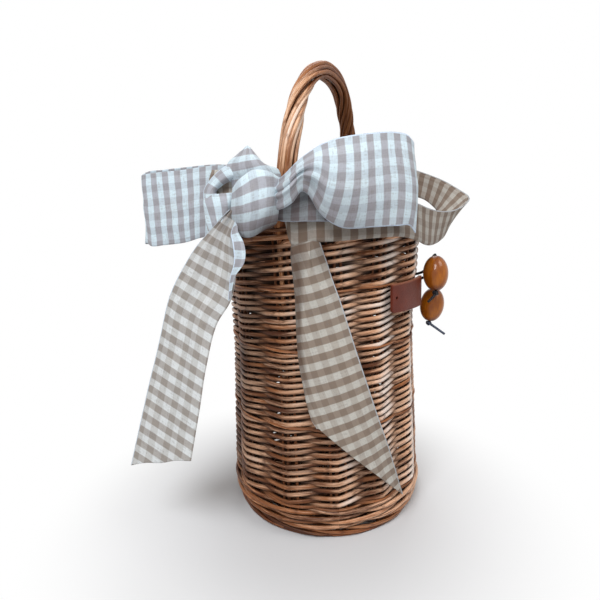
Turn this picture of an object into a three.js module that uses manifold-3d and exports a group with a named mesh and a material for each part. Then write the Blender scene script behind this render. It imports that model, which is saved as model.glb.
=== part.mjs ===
// A small round willow basket with a tall twisted handle, a checked ribbon and two wooden beads.
// Millimetres, +Z up. The origin is on the basket's axis, where the base sticks touch the table.
// Azimuth 0 looks at -Y, the front, and grows towards +X.

import * as THREE from 'three';
import { mergeVertices } from 'three/addons/utils/BufferGeometryUtils.js';
import Module from 'manifold-3d';

const wasm = await Module();
wasm.setup();

// Clearance between pieces that touch on the real basket
const clearance = 0.3;

// Wall outline, measured over the crests of the weave
const bodyHeight = 262;
const footDiameter = 169;
const shoulderDiameter = 180;
const shoulderHeight = 28;
const waistDiameter = 171.4;
const waistHeight = 165;
const mouthDiameter = 181;

// Upright stakes
const stakeCount = 12;
const stakeRadius = 1.9;
const stakeTurn = 1.7;
const stakeDriftCos = 1.8;
const stakeDriftSin = -3.8;
const stakeTopInset = 1.5;

// Weavers of the four bands of the wall. The bands share its height in proportion to theirs.
const weaverRadius = 1.15;
const lowestBandHeight = 69;
const lowerBandHeight = 64;
const upperBandHeight = 49.4;
const highestBandHeight = 41;
const outsideBend = 25;
const insideBend = 8;

// Wale rods above the foot
const waleCount = 4;
const waleRadius = 1.75;
const waleFootHeight = 9.5;
const waleTopHeight = 28.4;
const waleBend = 27;

// Foot ring and border rods
const footWidth = 6.5;
const footHeight = 4.6;
const borderRadius = 2.4;

// Base sticks and the weave of the base
const baseStickWidth = 5;
const baseStickThickness = 5;
const slathHalfLength = 10;
const slathPierceHeight = 2.8;
const spokeRun = 6;
const spokeWidth = 3.6;
const spokeThickness = 3.4;
const baseWeaverRadius = 1.3;
const baseWeaveStart = 33;
const baseWeaveBend = 47;

// Twisted handle
const handleHeight = 398;
const handleSquareness = 2.5;
const handleLean = 0.11;
const handleTwist = 2.1;
const handleTwistRise = 25;
const handleLegDepth = 63;
const archSink = 10;
const handleCoreRadius = 2.6;
const handleRodRadius = 1.7;
const handleRodCount = 6;
const handleRodTurns = 3.5;
const handleLegRing = 5.2;
const handleTopRing = 6.3;

// Leather tag, which hangs below the top of the wall
const tagThickness = 2.4;
const tagStart = 33.5;
const tagEnd = 69;
const tagDrop = 48.5;
const tagHeight = 25.5;
const tagCornerRise = 3;
const tagLift = 0.055;
const tagHoleRadius = 1.1;
const tagHoleAzimuth = 36.6;
const tagHoleDrop = 11.1;

// Wooden beads, where they hang below the top of the wall, and which way they lean
const beadRadius = 10.65;
const beadLength = 29.5;
const beadEndRadius = 3.5;
const beadSegments = 16;
const upperBeadAzimuth = 72.9;
const upperBeadDrop = 47.6;
const upperBeadStandoff = 3.2;
const upperBeadLean = [0.055, 0.276];
const lowerBeadAzimuth = 83.2;
const lowerBeadDrop = 79.3;
const lowerBeadStandoff = 4.05;
const lowerBeadLean = [0.164, 0.066];

// Cords and their knots
const cordRadius = 1.15;
const cordStepsPerPoint = 2.5;
const cordLeadIn = 2.5;
const knotRadius = 2.9;
const knotHeight = 4.4;
const knotTailRadius = 1.035;

// Checked ribbon. Its places and forms further down are given in checks of its pattern.
const checkSize = 6;
const ribbonThickness = 1.3;
const wrapThickness = 1.8;
const wrapStandoff = 0.2;
const bowDepth = 14;
const bowAzimuth = -28;
const bowGather = 0.05;
const loopPleat = 1.5;
const tailFold = 4;

const willow = { color: 0x9a6238, roughness: 0.55, metalness: 0 };
const darkWillow = { color: 0x7c4a2a, roughness: 0.6, metalness: 0 };
const cloth = { color: 0xb9b2a8, roughness: 0.9, metalness: 0 };
const leather = { color: 0x8c4f35, roughness: 0.6, metalness: 0 };
const beadWood = { color: 0xa85f22, roughness: 0.3, metalness: 0 };
const cordFinish = { color: 0x211f24, roughness: 0.8, metalness: 0 };

const basket = new THREE.Group();

function addPiece(name, geometry, finish) {
  const material = new THREE.MeshStandardMaterial(finish);
  const mesh = new THREE.Mesh(geometry, material);
  mesh.name = name;
  basket.add(mesh);
  return mesh;
}

const radians = (degrees) => (degrees * Math.PI) / 180;

const smooth = (t) => {
  const k = Math.min(1, Math.max(0, t));
  return k * k * (3 - 2 * k);
};

const mix = (a, b, t) => a + (b - a) * t;

const upward = new THREE.Vector3(0, 0, 1);

// Point at an azimuth and radius about the basket's axis
function around(azimuth, radius, height) {
  const a = radians(azimuth);
  return new THREE.Vector3(radius * Math.sin(a), -radius * Math.cos(a), height);
}

// Radius of the wall over the crests of the weave
function wallRadius(z) {
  if (z < shoulderHeight) {
    const rise = Math.sin(radians(90 * Math.max(0, z) / shoulderHeight));
    return mix(footDiameter, shoulderDiameter, rise) / 2;
  }
  if (z < waistHeight) {
    const rise = smooth((z - shoulderHeight) / (waistHeight - shoulderHeight));
    return mix(shoulderDiameter, waistDiameter, rise) / 2;
  }
  const rise = smooth((z - waistHeight) / (bodyHeight - waistHeight));
  return mix(waistDiameter, mouthDiameter, rise) / 2;
}

// Distance that a weaver swings outside and inside the circle of stakes
const weaverPinch = stakeRadius + weaverRadius + clearance;
const weaverOut = weaverPinch / Math.cos(radians(outsideBend));
const weaverIn = weaverPinch / Math.cos(radians(insideBend));

const stakeCircle = (z) => wallRadius(z) - weaverOut - weaverRadius;

function stakeAzimuth(index) {
  const wave = radians((720 / stakeCount) * index);
  const drift = stakeDriftCos * Math.cos(wave) + stakeDriftSin * Math.sin(wave);
  return stakeTurn + (360 / stakeCount) * index + drift;
}

// Closed body from rings of points, with flat ends, or joined end to end
function loft(rings, closed = false) {
  const sides = rings[0].length;
  const positions = [];
  const indices = [];
  rings.forEach((ring) => ring.forEach((p) => positions.push(p.x, p.y, p.z)));
  const steps = closed ? rings.length : rings.length - 1;
  for (let i = 0; i < steps; i += 1) {
    const a = i * sides;
    const b = ((i + 1) % rings.length) * sides;
    for (let j = 0; j < sides; j += 1) {
      const k = (j + 1) % sides;
      indices.push(a + j, a + k, b + k);
      indices.push(a + j, b + k, b + j);
    }
  }
  if (!closed) {
    const last = (rings.length - 1) * sides;
    for (let j = 1; j < sides - 1; j += 1) {
      indices.push(0, j + 1, j);
      indices.push(last, last + j, last + j + 1);
    }
  }
  const geometry = new THREE.BufferGeometry();
  geometry.setAttribute('position', new THREE.Float32BufferAttribute(positions, 3));
  geometry.setIndex(indices);
  return geometry;
}

// Round rod along points. Its section starts across the guide; size is its radius, or gives it
// from the share of the way along and the point there.
function rod(points, guide, size, sides, closed = false) {
  const count = points.length;
  const rings = points.map((point, i) => {
    const before = closed ? points[(i + count - 1) % count] : points[Math.max(0, i - 1)];
    const after = closed ? points[(i + 1) % count] : points[Math.min(count - 1, i + 1)];
    const ahead = after.clone().sub(point);
    const behind = point.clone().sub(before);
    const tangent = new THREE.Vector3();
    if (ahead.lengthSq() > 0) tangent.add(ahead.normalize());
    if (behind.lengthSq() > 0) tangent.add(behind.normalize());
    tangent.normalize();
    const high = guide.clone().addScaledVector(tangent, -guide.dot(tangent)).normalize();
    const wide = new THREE.Vector3().crossVectors(high, tangent);
    const radius = typeof size === 'function' ? size(i / (count - 1), point) : size;
    return Array.from({ length: sides }, (_, j) => {
      const angle = (2 * Math.PI * j) / sides;
      return point.clone()
        .addScaledVector(wide, radius * Math.cos(angle))
        .addScaledVector(high, radius * Math.sin(angle));
    });
  });
  return loft(rings, closed);
}

// Bar with a rectangular section, along points; size gives its width and height
function bar(points, guide, size) {
  const last = points.length - 1;
  const rings = points.map((point, i) => {
    const tangent = points[Math.min(last, i + 1)].clone().sub(points[Math.max(0, i - 1)]).normalize();
    const high = guide.clone().addScaledVector(tangent, -guide.dot(tangent)).normalize();
    const wide = new THREE.Vector3().crossVectors(high, tangent);
    const [width, height] = size(i / last);
    return [[1, 1], [-1, 1], [-1, -1], [1, -1]].map(([x, y]) => point.clone()
      .addScaledVector(wide, (x * width) / 2)
      .addScaledVector(high, (y * height) / 2));
  });
  return loft(rings);
}

// Sheet with a thickness, from a grid of points on its middle surface
function slab(grid, thickness, closed = false) {
  const rows = grid.length;
  const columns = grid[0].length;
  const at = (i, j) => grid[closed ? (i + rows) % rows : Math.min(rows - 1, Math.max(0, i))][
    Math.min(columns - 1, Math.max(0, j))];
  const rings = [];
  for (let i = 0; i < rows; i += 1) {
    const front = [];
    const back = [];
    for (let j = 0; j < columns; j += 1) {
      const along = at(i + 1, j).clone().sub(at(i - 1, j));
      const across = at(i, j + 1).clone().sub(at(i, j - 1));
      const normal = along.cross(across).normalize();
      front.push(at(i, j).clone().addScaledVector(normal, thickness / 2));
      back.push(at(i, j).clone().addScaledVector(normal, -thickness / 2));
    }
    rings.push([...front.reverse(), ...back]);
  }
  if (closed) return loft(rings, true);
  const geometry = loft(rings);
  return slabEnds(geometry, rings.length, columns);
}

// End strips of a sheet, laid between its two faces
function slabEnds(geometry, rows, columns) {
  const sides = 2 * columns;
  const wallIndices = Array.from(geometry.getIndex().array).slice(0, (rows - 1) * sides * 6);
  const last = (rows - 1) * sides;
  for (let j = 0; j < columns - 1; j += 1) {
    const opposite = sides - 1 - j;
    wallIndices.push(j, opposite, j + 1);
    wallIndices.push(j + 1, opposite, opposite - 1);
    wallIndices.push(last + j, last + j + 1, last + opposite);
    wallIndices.push(last + j + 1, last + opposite - 1, last + opposite);
  }
  geometry.setIndex(wallIndices);
  return geometry;
}

// Smooth curve through hand-picked points, at equal parameter steps
function throughPoints(points, steps) {
  const curve = new THREE.CatmullRomCurve3(points, false, 'centripetal');
  return Array.from({ length: steps + 1 }, (_, i) => curve.getPoint(i / steps));
}

// Solids for cutting and joining
function toSolid(geometry) {
  const bare = geometry.clone();
  bare.deleteAttribute('normal');
  bare.deleteAttribute('uv');
  const merged = mergeVertices(bare, 1e-4);
  return new wasm.Manifold(new wasm.Mesh({
    numProp: 3,
    vertProperties: new Float32Array(merged.getAttribute('position').array),
    triVerts: new Uint32Array(merged.getIndex().array),
  }));
}

function fromSolid(solid) {
  const mesh = solid.getMesh();
  const geometry = new THREE.BufferGeometry();
  geometry.setAttribute('position', new THREE.BufferAttribute(new Float32Array(mesh.vertProperties), 3));
  geometry.setIndex(new THREE.BufferAttribute(new Uint32Array(mesh.triVerts), 1));
  return geometry;
}

const cut = (geometry, tool) => fromSolid(toSolid(geometry).subtract(toSolid(tool)));
const join = (first, second) => fromSolid(toSolid(first).add(toSolid(second)));

// Stakes: twelve uprights that stand on the foot ring. The handle's legs take over two of them.
const handleStake = -1;
const legFoot = bodyHeight - handleLegDepth;

function makeStakes() {
  for (let k = 0; k < stakeCount; k += 1) {
    const underLeg = (k - handleStake) % (stakeCount / 2) === 0;
    const low = footHeight + 2 * clearance;
    const high = underLeg ? legFoot - clearance : bodyHeight - stakeTopInset;
    const steps = 12;
    const points = Array.from({ length: steps + 1 }, (_, i) => {
      const z = mix(low, high, i / steps);
      return around(stakeAzimuth(k), stakeCircle(z), z);
    });
    const outward = around(stakeAzimuth(k), 1, 0);
    const name = `stake_${String(k + 1).padStart(2, '0')}`;
    addPiece(name, rod(points, outward, stakeRadius, 4), darkWillow);
  }
}

// Two weavers chase each other round each band: where one passes outside a stake, the other passes inside.
const bandHeights = [lowestBandHeight, lowerBandHeight, upperBandHeight, highestBandHeight];
const bandTotal = bandHeights.reduce((sum, height) => sum + height, 0);
const bandRoom = bodyHeight - 4 * borderRadius - 2 * clearance - waleTopHeight;
const bandFeet = [waleTopHeight];
bandHeights.forEach((height, band) => bandFeet.push(bandFeet[band] + (height / bandTotal) * bandRoom));

function makeBand(band) {
  const foot = bandFeet[band];
  const room = bandFeet[band + 1] - foot - 2 * weaverRadius - clearance;
  const leastPitch = 2 * (2 * weaverRadius + clearance);
  const turns = Math.floor(room / leastPitch - 0.5);
  const pitch = room / (turns + 0.5);
  ['a', 'b'].forEach((letter, phase) => {
    const start = foot + weaverRadius + clearance / 2 + (phase * pitch) / 2;
    const points = [];
    for (let i = 0; i <= turns * stakeCount; i += 1) {
      const z = start + (pitch * i) / stakeCount;
      const outside = (i + phase) % 2 === 0;
      const swing = outside ? weaverOut : -weaverIn;
      points.push(around(stakeAzimuth(i), stakeCircle(z) + swing, z));
    }
    addPiece(`band_${band + 1}_weaver_${letter}`, rod(points, upward, weaverRadius, 4), willow);
  });
}

// Wale rods pass in front of two stakes and behind one. Their butts meet inside the wall.
function makeWale() {
  const swing = (stakeRadius + waleRadius + clearance) / Math.cos(radians(waleBend));
  const pitch = (waleTopHeight - waleFootHeight - 2 * waleRadius) / (waleCount - 1);
  for (let round = 0; round < waleCount; round += 1) {
    const z = waleFootHeight + waleRadius + pitch * round;
    const behind = (k) => (k + round) % 3 === 0;
    const first = (3 - (round % 3)) % 3;
    const points = [];
    for (let i = 0; i <= 2 * stakeCount; i += 1) {
      const k = first + i / 2;
      const low = Math.floor(k);
      const high = Math.ceil(k);
      const azimuth = (stakeAzimuth(low) + stakeAzimuth(high)) / 2;
      const offset = ((behind(low) ? -swing : swing) + (behind(high) ? -swing : swing)) / 2;
      points.push(around(azimuth, stakeCircle(z) + offset, z));
    }
    const last = points.length - 1;
    points[last].lerp(points[last - 1], clearance / waleRadius / stakeCount);
    addPiece(`wale_rod_${round + 1}`, rod(points, upward, waleRadius, 4), willow);
  }
}

// Foot ring under the stakes, flat where it stands
function makeFoot() {
  const outer = footDiameter / 2;
  const inner = outer - footWidth;
  const edge = footHeight / 3;
  const profile = [
    new THREE.Vector2(inner, 0),
    new THREE.Vector2(outer - edge, 0),
    new THREE.Vector2(outer, footHeight / 2),
    new THREE.Vector2(outer - edge, footHeight),
    new THREE.Vector2(inner, footHeight),
    new THREE.Vector2(inner, 0),
  ];
  const ring = new THREE.LatheGeometry(profile, 3 * stakeCount);
  ring.rotateX(Math.PI / 2);
  addPiece('foot_ring', ring, darkWillow);
}

// Border: two thick rods laid in and out of the stake ends
function makeBorder() {
  const pinch = stakeRadius + borderRadius + clearance;
  ['b', 'a'].forEach((letter, level) => {
    const z = bodyHeight - borderRadius - level * (2 * borderRadius + clearance);
    const points = Array.from({ length: stakeCount }, (_, i) => {
      const outside = (i + level) % 2 === 0;
      const bend = outside ? outsideBend : insideBend;
      const swing = pinch / Math.cos(radians(bend));
      return around(stakeAzimuth(i), stakeCircle(z) + (outside ? swing : -swing), z);
    });
    addPiece(`border_rod_${letter}`, rod(points, upward, borderRadius, 6, true), willow);
  });
}

// Base: three pierced sticks carry three others through their slits, then all open out like spokes
const spokeHeight = footHeight + clearance + baseStickThickness / 2;
const slathPitch = baseStickWidth + clearance;
const spokeTipRadius = stakeCircle(spokeHeight) - stakeRadius - 2 * clearance;

// Where a spoke leaves the crossing, and its tip beside a stake
function spokeEnds(index) {
  const quarter = Math.round(index / 3);
  const offset = (index - 3 * quarter) * slathPitch;
  const reach = slathHalfLength + spokeRun;
  const directions = [[0, -1], [1, 0], [0, 1], [-1, 0]];
  const [x, y] = directions[((quarter % 4) + 4) % 4];
  const knee = new THREE.Vector3(x * reach - y * offset, y * reach + x * offset, spokeHeight);
  return [knee, around(stakeAzimuth(index), spokeTipRadius, spokeHeight)];
}

function makeBaseSticks() {
  const centre = baseStickThickness / 2;
  const pierceWidth = 3 * slathPitch + clearance;
  const stick = (near, far, width, thickness) => {
    const [nearKnee, nearTip] = spokeEnds(near);
    const [farKnee, farTip] = spokeEnds(far);
    const shrink = slathHalfLength / (slathHalfLength + spokeRun);
    const slide = (knee, other) => {
      const middle = knee.clone().add(other).multiplyScalar(0.5);
      return knee.clone().sub(middle).multiplyScalar(shrink).add(middle).setZ(centre);
    };
    const points = [nearTip, nearKnee, slide(nearKnee, farKnee), slide(farKnee, nearKnee), farKnee, farTip];
    const size = (t) => {
      const inSlath = Math.abs(t - 0.5) < 0.2;
      return inSlath ? [width, thickness] : [spokeWidth, spokeThickness];
    };
    return bar(points, upward, size);
  };
  for (let i = -1; i <= 1; i += 1) {
    const pierced = stick(3 + i, 9 - i, baseStickWidth, baseStickThickness);
    const slit = new THREE.BoxGeometry(pierceWidth, 2 * baseStickWidth, slathPierceHeight + 2 * clearance);
    slit.translate(0, i * slathPitch, centre);
    addPiece(`base_stick_pierced_${i + 2}`, cut(pierced, slit), willow);
    const through = stick(i, 6 - i, baseStickWidth - clearance, slathPierceHeight);
    addPiece(`base_stick_through_${i + 2}`, through, willow);
  }
}

// Two weavers wind outwards over and under the spokes
function makeBaseWeave() {
  const pitch = 2 * (2 * baseWeaverRadius + clearance);
  const turns = Math.floor((spokeTipRadius - baseWeaveStart - pitch) / pitch);
  const lift = (spokeThickness / 2 + baseWeaverRadius + clearance) / Math.cos(radians(baseWeaveBend));
  ['a', 'b'].forEach((letter, phase) => {
    const points = [];
    for (let i = 0; i <= turns * stakeCount; i += 1) {
      const radius = baseWeaveStart + (phase * pitch) / 2 + (pitch * i) / stakeCount;
      const [knee, tip] = spokeEnds(i % stakeCount);
      const share = (radius - knee.length()) / (tip.length() - knee.length());
      const point = knee.clone().lerp(tip, share);
      const side = (i + phase) % 2 === 0 ? 1 : -1;
      point.z = spokeHeight + side * lift;
      points.push(point);
    }
    addPiece(`base_weaver_${letter}`, rod(points, upward, baseWeaverRadius, 4), willow);
  });
}

// Handle: a bow whose thin legs stand in the weave, wrapped by six twisted rods
const archFoot = bodyHeight - archSink;
const archSpan = stakeCircle(bodyHeight);
const archRise = handleHeight - archFoot - handleTopRing - handleRodRadius;

function handlePlace(along, z) {
  const turn = handleTwist * smooth((z - bodyHeight) / handleTwistRise);
  const azimuth = stakeAzimuth(handleStake) + turn;
  const lean = handleLean * Math.max(0, z - bodyHeight);
  return around(azimuth, along, z).add(around(azimuth + 90, lean, 0));
}

function archPoints(count) {
  const dense = Array.from({ length: 161 }, (_, i) => {
    const angle = (Math.PI * i) / 160;
    const power = 2 / handleSquareness;
    const along = archSpan * Math.sign(Math.cos(angle)) * Math.abs(Math.cos(angle)) ** power;
    return handlePlace(along, archFoot + archRise * Math.sin(angle) ** power);
  });
  return new THREE.CatmullRomCurve3(dense).getSpacedPoints(count);
}

function makeHandle() {
  const arch = archPoints(36).filter((p) => p.z > archFoot + 1);
  const legSteps = 5;
  const leg = (side) => Array.from({ length: legSteps + 1 }, (_, i) => {
    const z = mix(legFoot, archFoot, i / legSteps);
    return handlePlace(side * stakeCircle(z), z);
  });
  const centre = [...leg(1), ...arch, ...leg(-1).reverse()];
  const sideways = around(stakeAzimuth(handleStake) + 90, 1, 0);
  const coreSize = (t, p) => {
    const rise = smooth((p.z - bodyHeight) / (4 * handleCoreRadius));
    return mix(stakeRadius, handleCoreRadius, rise);
  };
  addPiece('handle_bow', rod(centre, sideways, coreSize, 6), darkWillow);

  const rodFoot = bodyHeight + clearance + handleRodRadius / 2;
  const wound = new THREE.CatmullRomCurve3(archPoints(160).filter((p) => p.z > rodFoot));
  const steps = 32;
  for (let k = 0; k < handleRodCount; k += 1) {
    const points = Array.from({ length: steps + 1 }, (_, i) => {
      const t = i / steps;
      const point = wound.getPointAt(t);
      const outward = new THREE.Vector3().crossVectors(wound.getTangentAt(t), sideways).normalize();
      const ring = mix(handleLegRing, handleTopRing, Math.sin(Math.PI * t));
      const angle = 2 * Math.PI * (k / handleRodCount + handleRodTurns * t);
      return point
        .addScaledVector(outward, ring * Math.cos(angle))
        .addScaledVector(sideways, ring * Math.sin(angle));
    });
    addPiece(`handle_rod_${k + 1}`, rod(points, sideways, handleRodRadius, 4), willow);
  }
}

// Leather tag: a curved strip against the wall, its left edge standing off
function makeTag() {
  const tagTop = bodyHeight - tagDrop;
  const tagBottom = tagTop - tagHeight;
  const seat = wallRadius(tagTop) + clearance + tagThickness / 2;
  const columns = 8;
  const grid = Array.from({ length: columns + 1 }, (_, i) => {
    const azimuth = mix(tagStart, tagEnd, i / columns);
    const radius = seat + tagLift * Math.max(0, stakeAzimuth(2) - azimuth);
    const bottom = tagBottom + tagCornerRise * (1 - i / columns);
    return [around(azimuth, radius, bottom), around(azimuth, radius, tagTop)];
  });
  const hole = new THREE.CylinderGeometry(tagHoleRadius, tagHoleRadius, 4 * tagThickness, 8);
  const lift = tagLift * (stakeAzimuth(2) - tagHoleAzimuth);
  const place = around(tagHoleAzimuth, seat + lift, tagTop - tagHoleDrop);
  hole.rotateZ(radians(tagHoleAzimuth));
  hole.translate(place.x, place.y, place.z);
  addPiece('leather_tag', cut(slab(grid, tagThickness), hole), leather);
}

// Beads: barrels with a bore, each leaning on its own cord beside the tag
const boreRadius = cordRadius + clearance;

function beadPlace(azimuth, drop, standoff, lean) {
  const height = bodyHeight - drop;
  const centre = around(azimuth, wallRadius(height) + standoff + beadRadius, height);
  return { centre, axis: new THREE.Vector3(lean[0], lean[1], 1).normalize() };
}

// Routes of the cords, measured from the middle of the bead: out of the wall and over a short loop,
// and the tail below the knot
const cordStarts = {
  upper: [
    [-19, 7.7, -1], [-15.6, 6.7, -1.2], [-12.3, 5.9, -0.2], [-10.7, 5.8, 3.1], [-10.1, 6, 7.6],
    [-9.3, 6.4, 12.6], [-7.3, 6.8, 17.1], [-3.9, 6.9, 19.6], [-0.9, 6.2, 19.6],
  ],
  lower: [
    [-20, -5.2, 22.4], [-16.7, -5.3, 22.7], [-12.6, -4.4, 24.7], [-7.8, -3.1, 26.4], [-3.1, -1.7, 25.9],
    [0.5, -0.3, 23.1],
  ],
};
const cordTails = {
  upper: [[-3, -6.5, -18.9], [-6, -7.5, -21.6], [-8.3, -8, -23.7]],
  lower: [[1.4, -2.7, -19.5], [6.4, -3.5, -22.9], [11.1, -4.1, -27.3]],
};

function makeBead(name, { centre, axis }) {
  const turn = new THREE.Quaternion().setFromUnitVectors(upward, axis);
  const half = beadLength / 2;
  const stretch = half / Math.sqrt(1 - (beadEndRadius / beadRadius) ** 2);
  const profile = [new THREE.Vector2(boreRadius, -half)];
  const steps = 8;
  for (let i = 0; i <= steps; i += 1) {
    const y = mix(-half, half, i / steps);
    profile.push(new THREE.Vector2(beadRadius * Math.sqrt(1 - (y / stretch) ** 2), y));
  }
  profile.push(new THREE.Vector2(boreRadius, half), new THREE.Vector2(boreRadius, -half));
  const shape = new THREE.LatheGeometry(profile, beadSegments);
  shape.rotateX(Math.PI / 2);
  const bead = addPiece(`bead_${name}`, shape, beadWood);
  bead.position.copy(centre);
  bead.quaternion.copy(turn);

  const top = centre.clone().addScaledVector(axis, half);
  const bottom = centre.clone().addScaledVector(axis, -half);
  const fromCentre = (p) => centre.clone().add(new THREE.Vector3(...p));
  const route = cordStarts[name].map(fromCentre);
  route.push(top.clone().addScaledVector(axis, cordLeadIn), top, centre, bottom);
  const path = throughPoints(route, Math.round(cordStepsPerPoint * route.length));
  const frontward = new THREE.Vector3(0, -1, 0.3);
  addPiece(`cord_${name}`, rod(path, frontward, cordRadius, 8), cordFinish);

  const knotTop = bottom.clone().addScaledVector(axis, -clearance);
  const bulge = [0.35, 0.85, 1, 0.85, 0.35];
  const rings = bulge.map((share, i) => {
    const middle = knotTop.clone().addScaledVector(axis, (-knotHeight * i) / (bulge.length - 1));
    const across = new THREE.Vector3().crossVectors(axis, new THREE.Vector3(1, 0, 0)).normalize();
    return Array.from({ length: 8 }, (_, j) => {
      const spoke = across.clone().applyAxisAngle(axis, (-Math.PI * j) / 4);
      return middle.clone().addScaledVector(spoke, knotRadius * share);
    });
  });
  const knotMiddle = knotTop.clone().addScaledVector(axis, -knotHeight / 2);
  const tail = throughPoints([knotMiddle, ...cordTails[name].map(fromCentre)], 5);
  addPiece(`knot_${name}`, join(loft(rings), rod(tail, upward, knotTailRadius, 6)), cordFinish);
}

// Ribbon: a folded strip round the border and the far leg, standing off in a loop at the right
const borderSwing = (stakeRadius + borderRadius + clearance) / Math.cos(radians(outsideBend));
const borderCrest = stakeCircle(bodyHeight) + borderSwing + borderRadius;
const wrapRadius = borderCrest + clearance + wrapThickness / 2 + wrapStandoff;

// Point of the ribbon: azimuth, and in checks its distance from the wrap and its height over the body's top
const ribbonPoint = ([azimuth, out, height]) => (
  around(azimuth, wrapRadius + checkSize * out, bodyHeight + checkSize * height));

// Azimuth, how far the lower and upper edges stand out, and their heights
const wrapStations = [
  [-30, 0, 0, -2.167, 3.167], [-5, 0, 0, -2, 3.167], [20, 0, 0, -1.917, 3], [38, 0, 0, -2, 2.5],
  [49, 0.167, 0.1, -2.667, 2.083], [59, 0.4, 0.5, -3.5, 1.417], [70, 1, 1.667, -3.667, 0.917],
  [82, 2.5, 4, -2.833, 1], [90, 3.167, 6.333, -1.667, 1.833], [96, 3.333, 7.667, -0.667, 2.833],
  [102, 3.833, 7.25, 0.333, 4], [109, 4.5, 6.333, 1.333, 5.5], [116, 4.333, 5.417, 2.667, 6.667],
  [126, 3.5, 4.167, 3.5, 8], [141, 1.333, 1.5, 4, 8.833], [158, 0.083, 0, 3.833, 8.667], [180, 0, 0, 2, 7],
  [205, 0, 0, 0, 5.167], [232, 0, 0, -1.5, 3.667], [260, 0, 0, -2.167, 3.167], [295, 0, 0, -2.167, 3.167],
  [330, 0, 0, -2.167, 3.167],
];

function wrapEdge(t, top) {
  const out = top ? 2 : 1;
  const height = top ? 4 : 3;
  const curve = new THREE.CatmullRomCurve3(
    wrapStations.map((s) => new THREE.Vector3(s[0], s[out], s[height])),
    false,
    'catmullrom',
  );
  return ribbonPoint(curve.getPoint(t).toArray());
}

// Height of the wrap's lower edge at an azimuth on the front
function wrapLowAt(azimuth) {
  const near = wrapStations.findIndex((s) => s[0] > azimuth);
  const [before, after] = [wrapStations[near - 1], wrapStations[near]];
  const height = mix(before[3], after[3], (azimuth - before[0]) / (after[0] - before[0]));
  return bodyHeight + checkSize * height;
}

function makeWrap() {
  const steps = 3 * (wrapStations.length - 1);
  const grid = Array.from({ length: steps }, (_, i) => {
    const low = wrapEdge(i / steps, false);
    const high = wrapEdge(i / steps, true);
    return [low, low.clone().lerp(high, 0.5), high];
  });
  addPiece('ribbon_wrap', slab(grid, wrapThickness, true), cloth);
}

// Knot of the bow: height over the body's top, shift along the rim, half width, and share of the depth
const bowLevels = [
  [-1.667, 0.333, 1.333, 0.4], [-0.667, 0.167, 3, 0.75], [1.333, 0, 4.167, 1], [3.833, 0, 4.5, 1],
  [6.333, 0, 4, 0.95], [8, 0, 2.333, 0.7], [9.167, 0.667, 0.667, 0.35],
];

function knotSolid(extra) {
  const centreRadius = wrapRadius + wrapThickness / 2 + clearance + bowDepth * (1 + bowGather);
  const along = around(bowAzimuth + 90, 1, 0);
  const out = around(bowAzimuth, 1, 0);
  const sides = 16;
  const rings = bowLevels.map(([height, shift, half, share], level) => {
    const bottomEnd = level === 0 ? -extra : 0;
    const topEnd = level === bowLevels.length - 1 ? extra : 0;
    const z = bodyHeight + checkSize * height + bottomEnd + topEnd;
    const middle = around(bowAzimuth, centreRadius, z).addScaledVector(along, checkSize * shift);
    return Array.from({ length: sides }, (_, j) => {
      const angle = (2 * Math.PI * j) / sides;
      const gather = 1 + bowGather * Math.cos(4 * angle);
      return middle.clone()
        .addScaledVector(along, (checkSize * half * gather + extra) * Math.cos(angle))
        .addScaledVector(out, -(bowDepth * share * gather + extra) * Math.sin(angle));
    });
  });
  return loft(rings);
}

// Loops of the bow: azimuth, and in checks the distance from the wrap, the heights of the lower and
// upper edges, and half the gap between the two layers
const leftLoop = [
  [-35.66, 3.116, 1.833, 5.833, 0.333], [-48.08, 3.206, -0.917, 7.333, 0.583],
  [-58.17, 4.478, -1.783, 7.283, 1], [-67.16, 6.579, -2.267, 7.25, 1],
  [-72.92, 8.367, -2.467, 7.233, 0.917], [-75.2, 9.37, -2.217, 7.133, 0.667],
];
const rightLoop = [
  [-23.86, 3.198, 1.833, 5.667, 0.333], [-14.96, 2.963, 0.667, 6, 0.5], [-8.2, 2.936, 0, 7.333, 0.833],
  [1.03, 2.748, -0.333, 8.917, 1.167], [12.93, 2.115, -0.417, 9.833, 1.167],
  [27.05, 1.836, -0.333, 10.417, 1], [35.32, 2.118, -0.167, 9.333, 0.75],
];

function makeLoop(name, stations) {
  const edge = (height) => new THREE.CatmullRomCurve3(
    stations.map((s) => ribbonPoint([s[0], s[1], s[height]])),
    false,
    'catmullrom',
  );
  const low = edge(2);
  const high = edge(3);
  const steps = 2 * (stations.length - 1);
  const gaps = (t) => {
    const place = t * (stations.length - 1);
    const i = Math.min(stations.length - 2, Math.floor(place));
    return checkSize * mix(stations[i][4], stations[i + 1][4], place - i);
  };
  const columns = 6;
  const row = (t, side, beyond) => {
    const direction = low.getTangent(t).setZ(0).normalize();
    const facing = new THREE.Vector3(direction.y, -direction.x, 0);
    if (facing.y > 0) facing.negate();
    return Array.from({ length: columns + 1 }, (_, j) => {
      const v = j / columns;
      const pleat = loopPleat * (1 - t) * Math.cos(3 * Math.PI * v);
      return low.getPoint(t).lerp(high.getPoint(t), v)
        .addScaledVector(facing, side * gaps(t) + pleat)
        .addScaledVector(direction, beyond);
    });
  };
  const grid = [];
  for (let i = 0; i <= steps; i += 1) grid.push(row(i / steps, 1, 0));
  grid.push(row(1, 0.6, 0.8 * gaps(1)));
  grid.push(row(1, -0.6, 0.8 * gaps(1)));
  for (let i = steps; i >= 0; i -= 1) grid.push(row(i / steps, -1, 0));
  addPiece(name, cut(slab(grid, ribbonThickness), knotSolid(clearance)), cloth);
}

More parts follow.
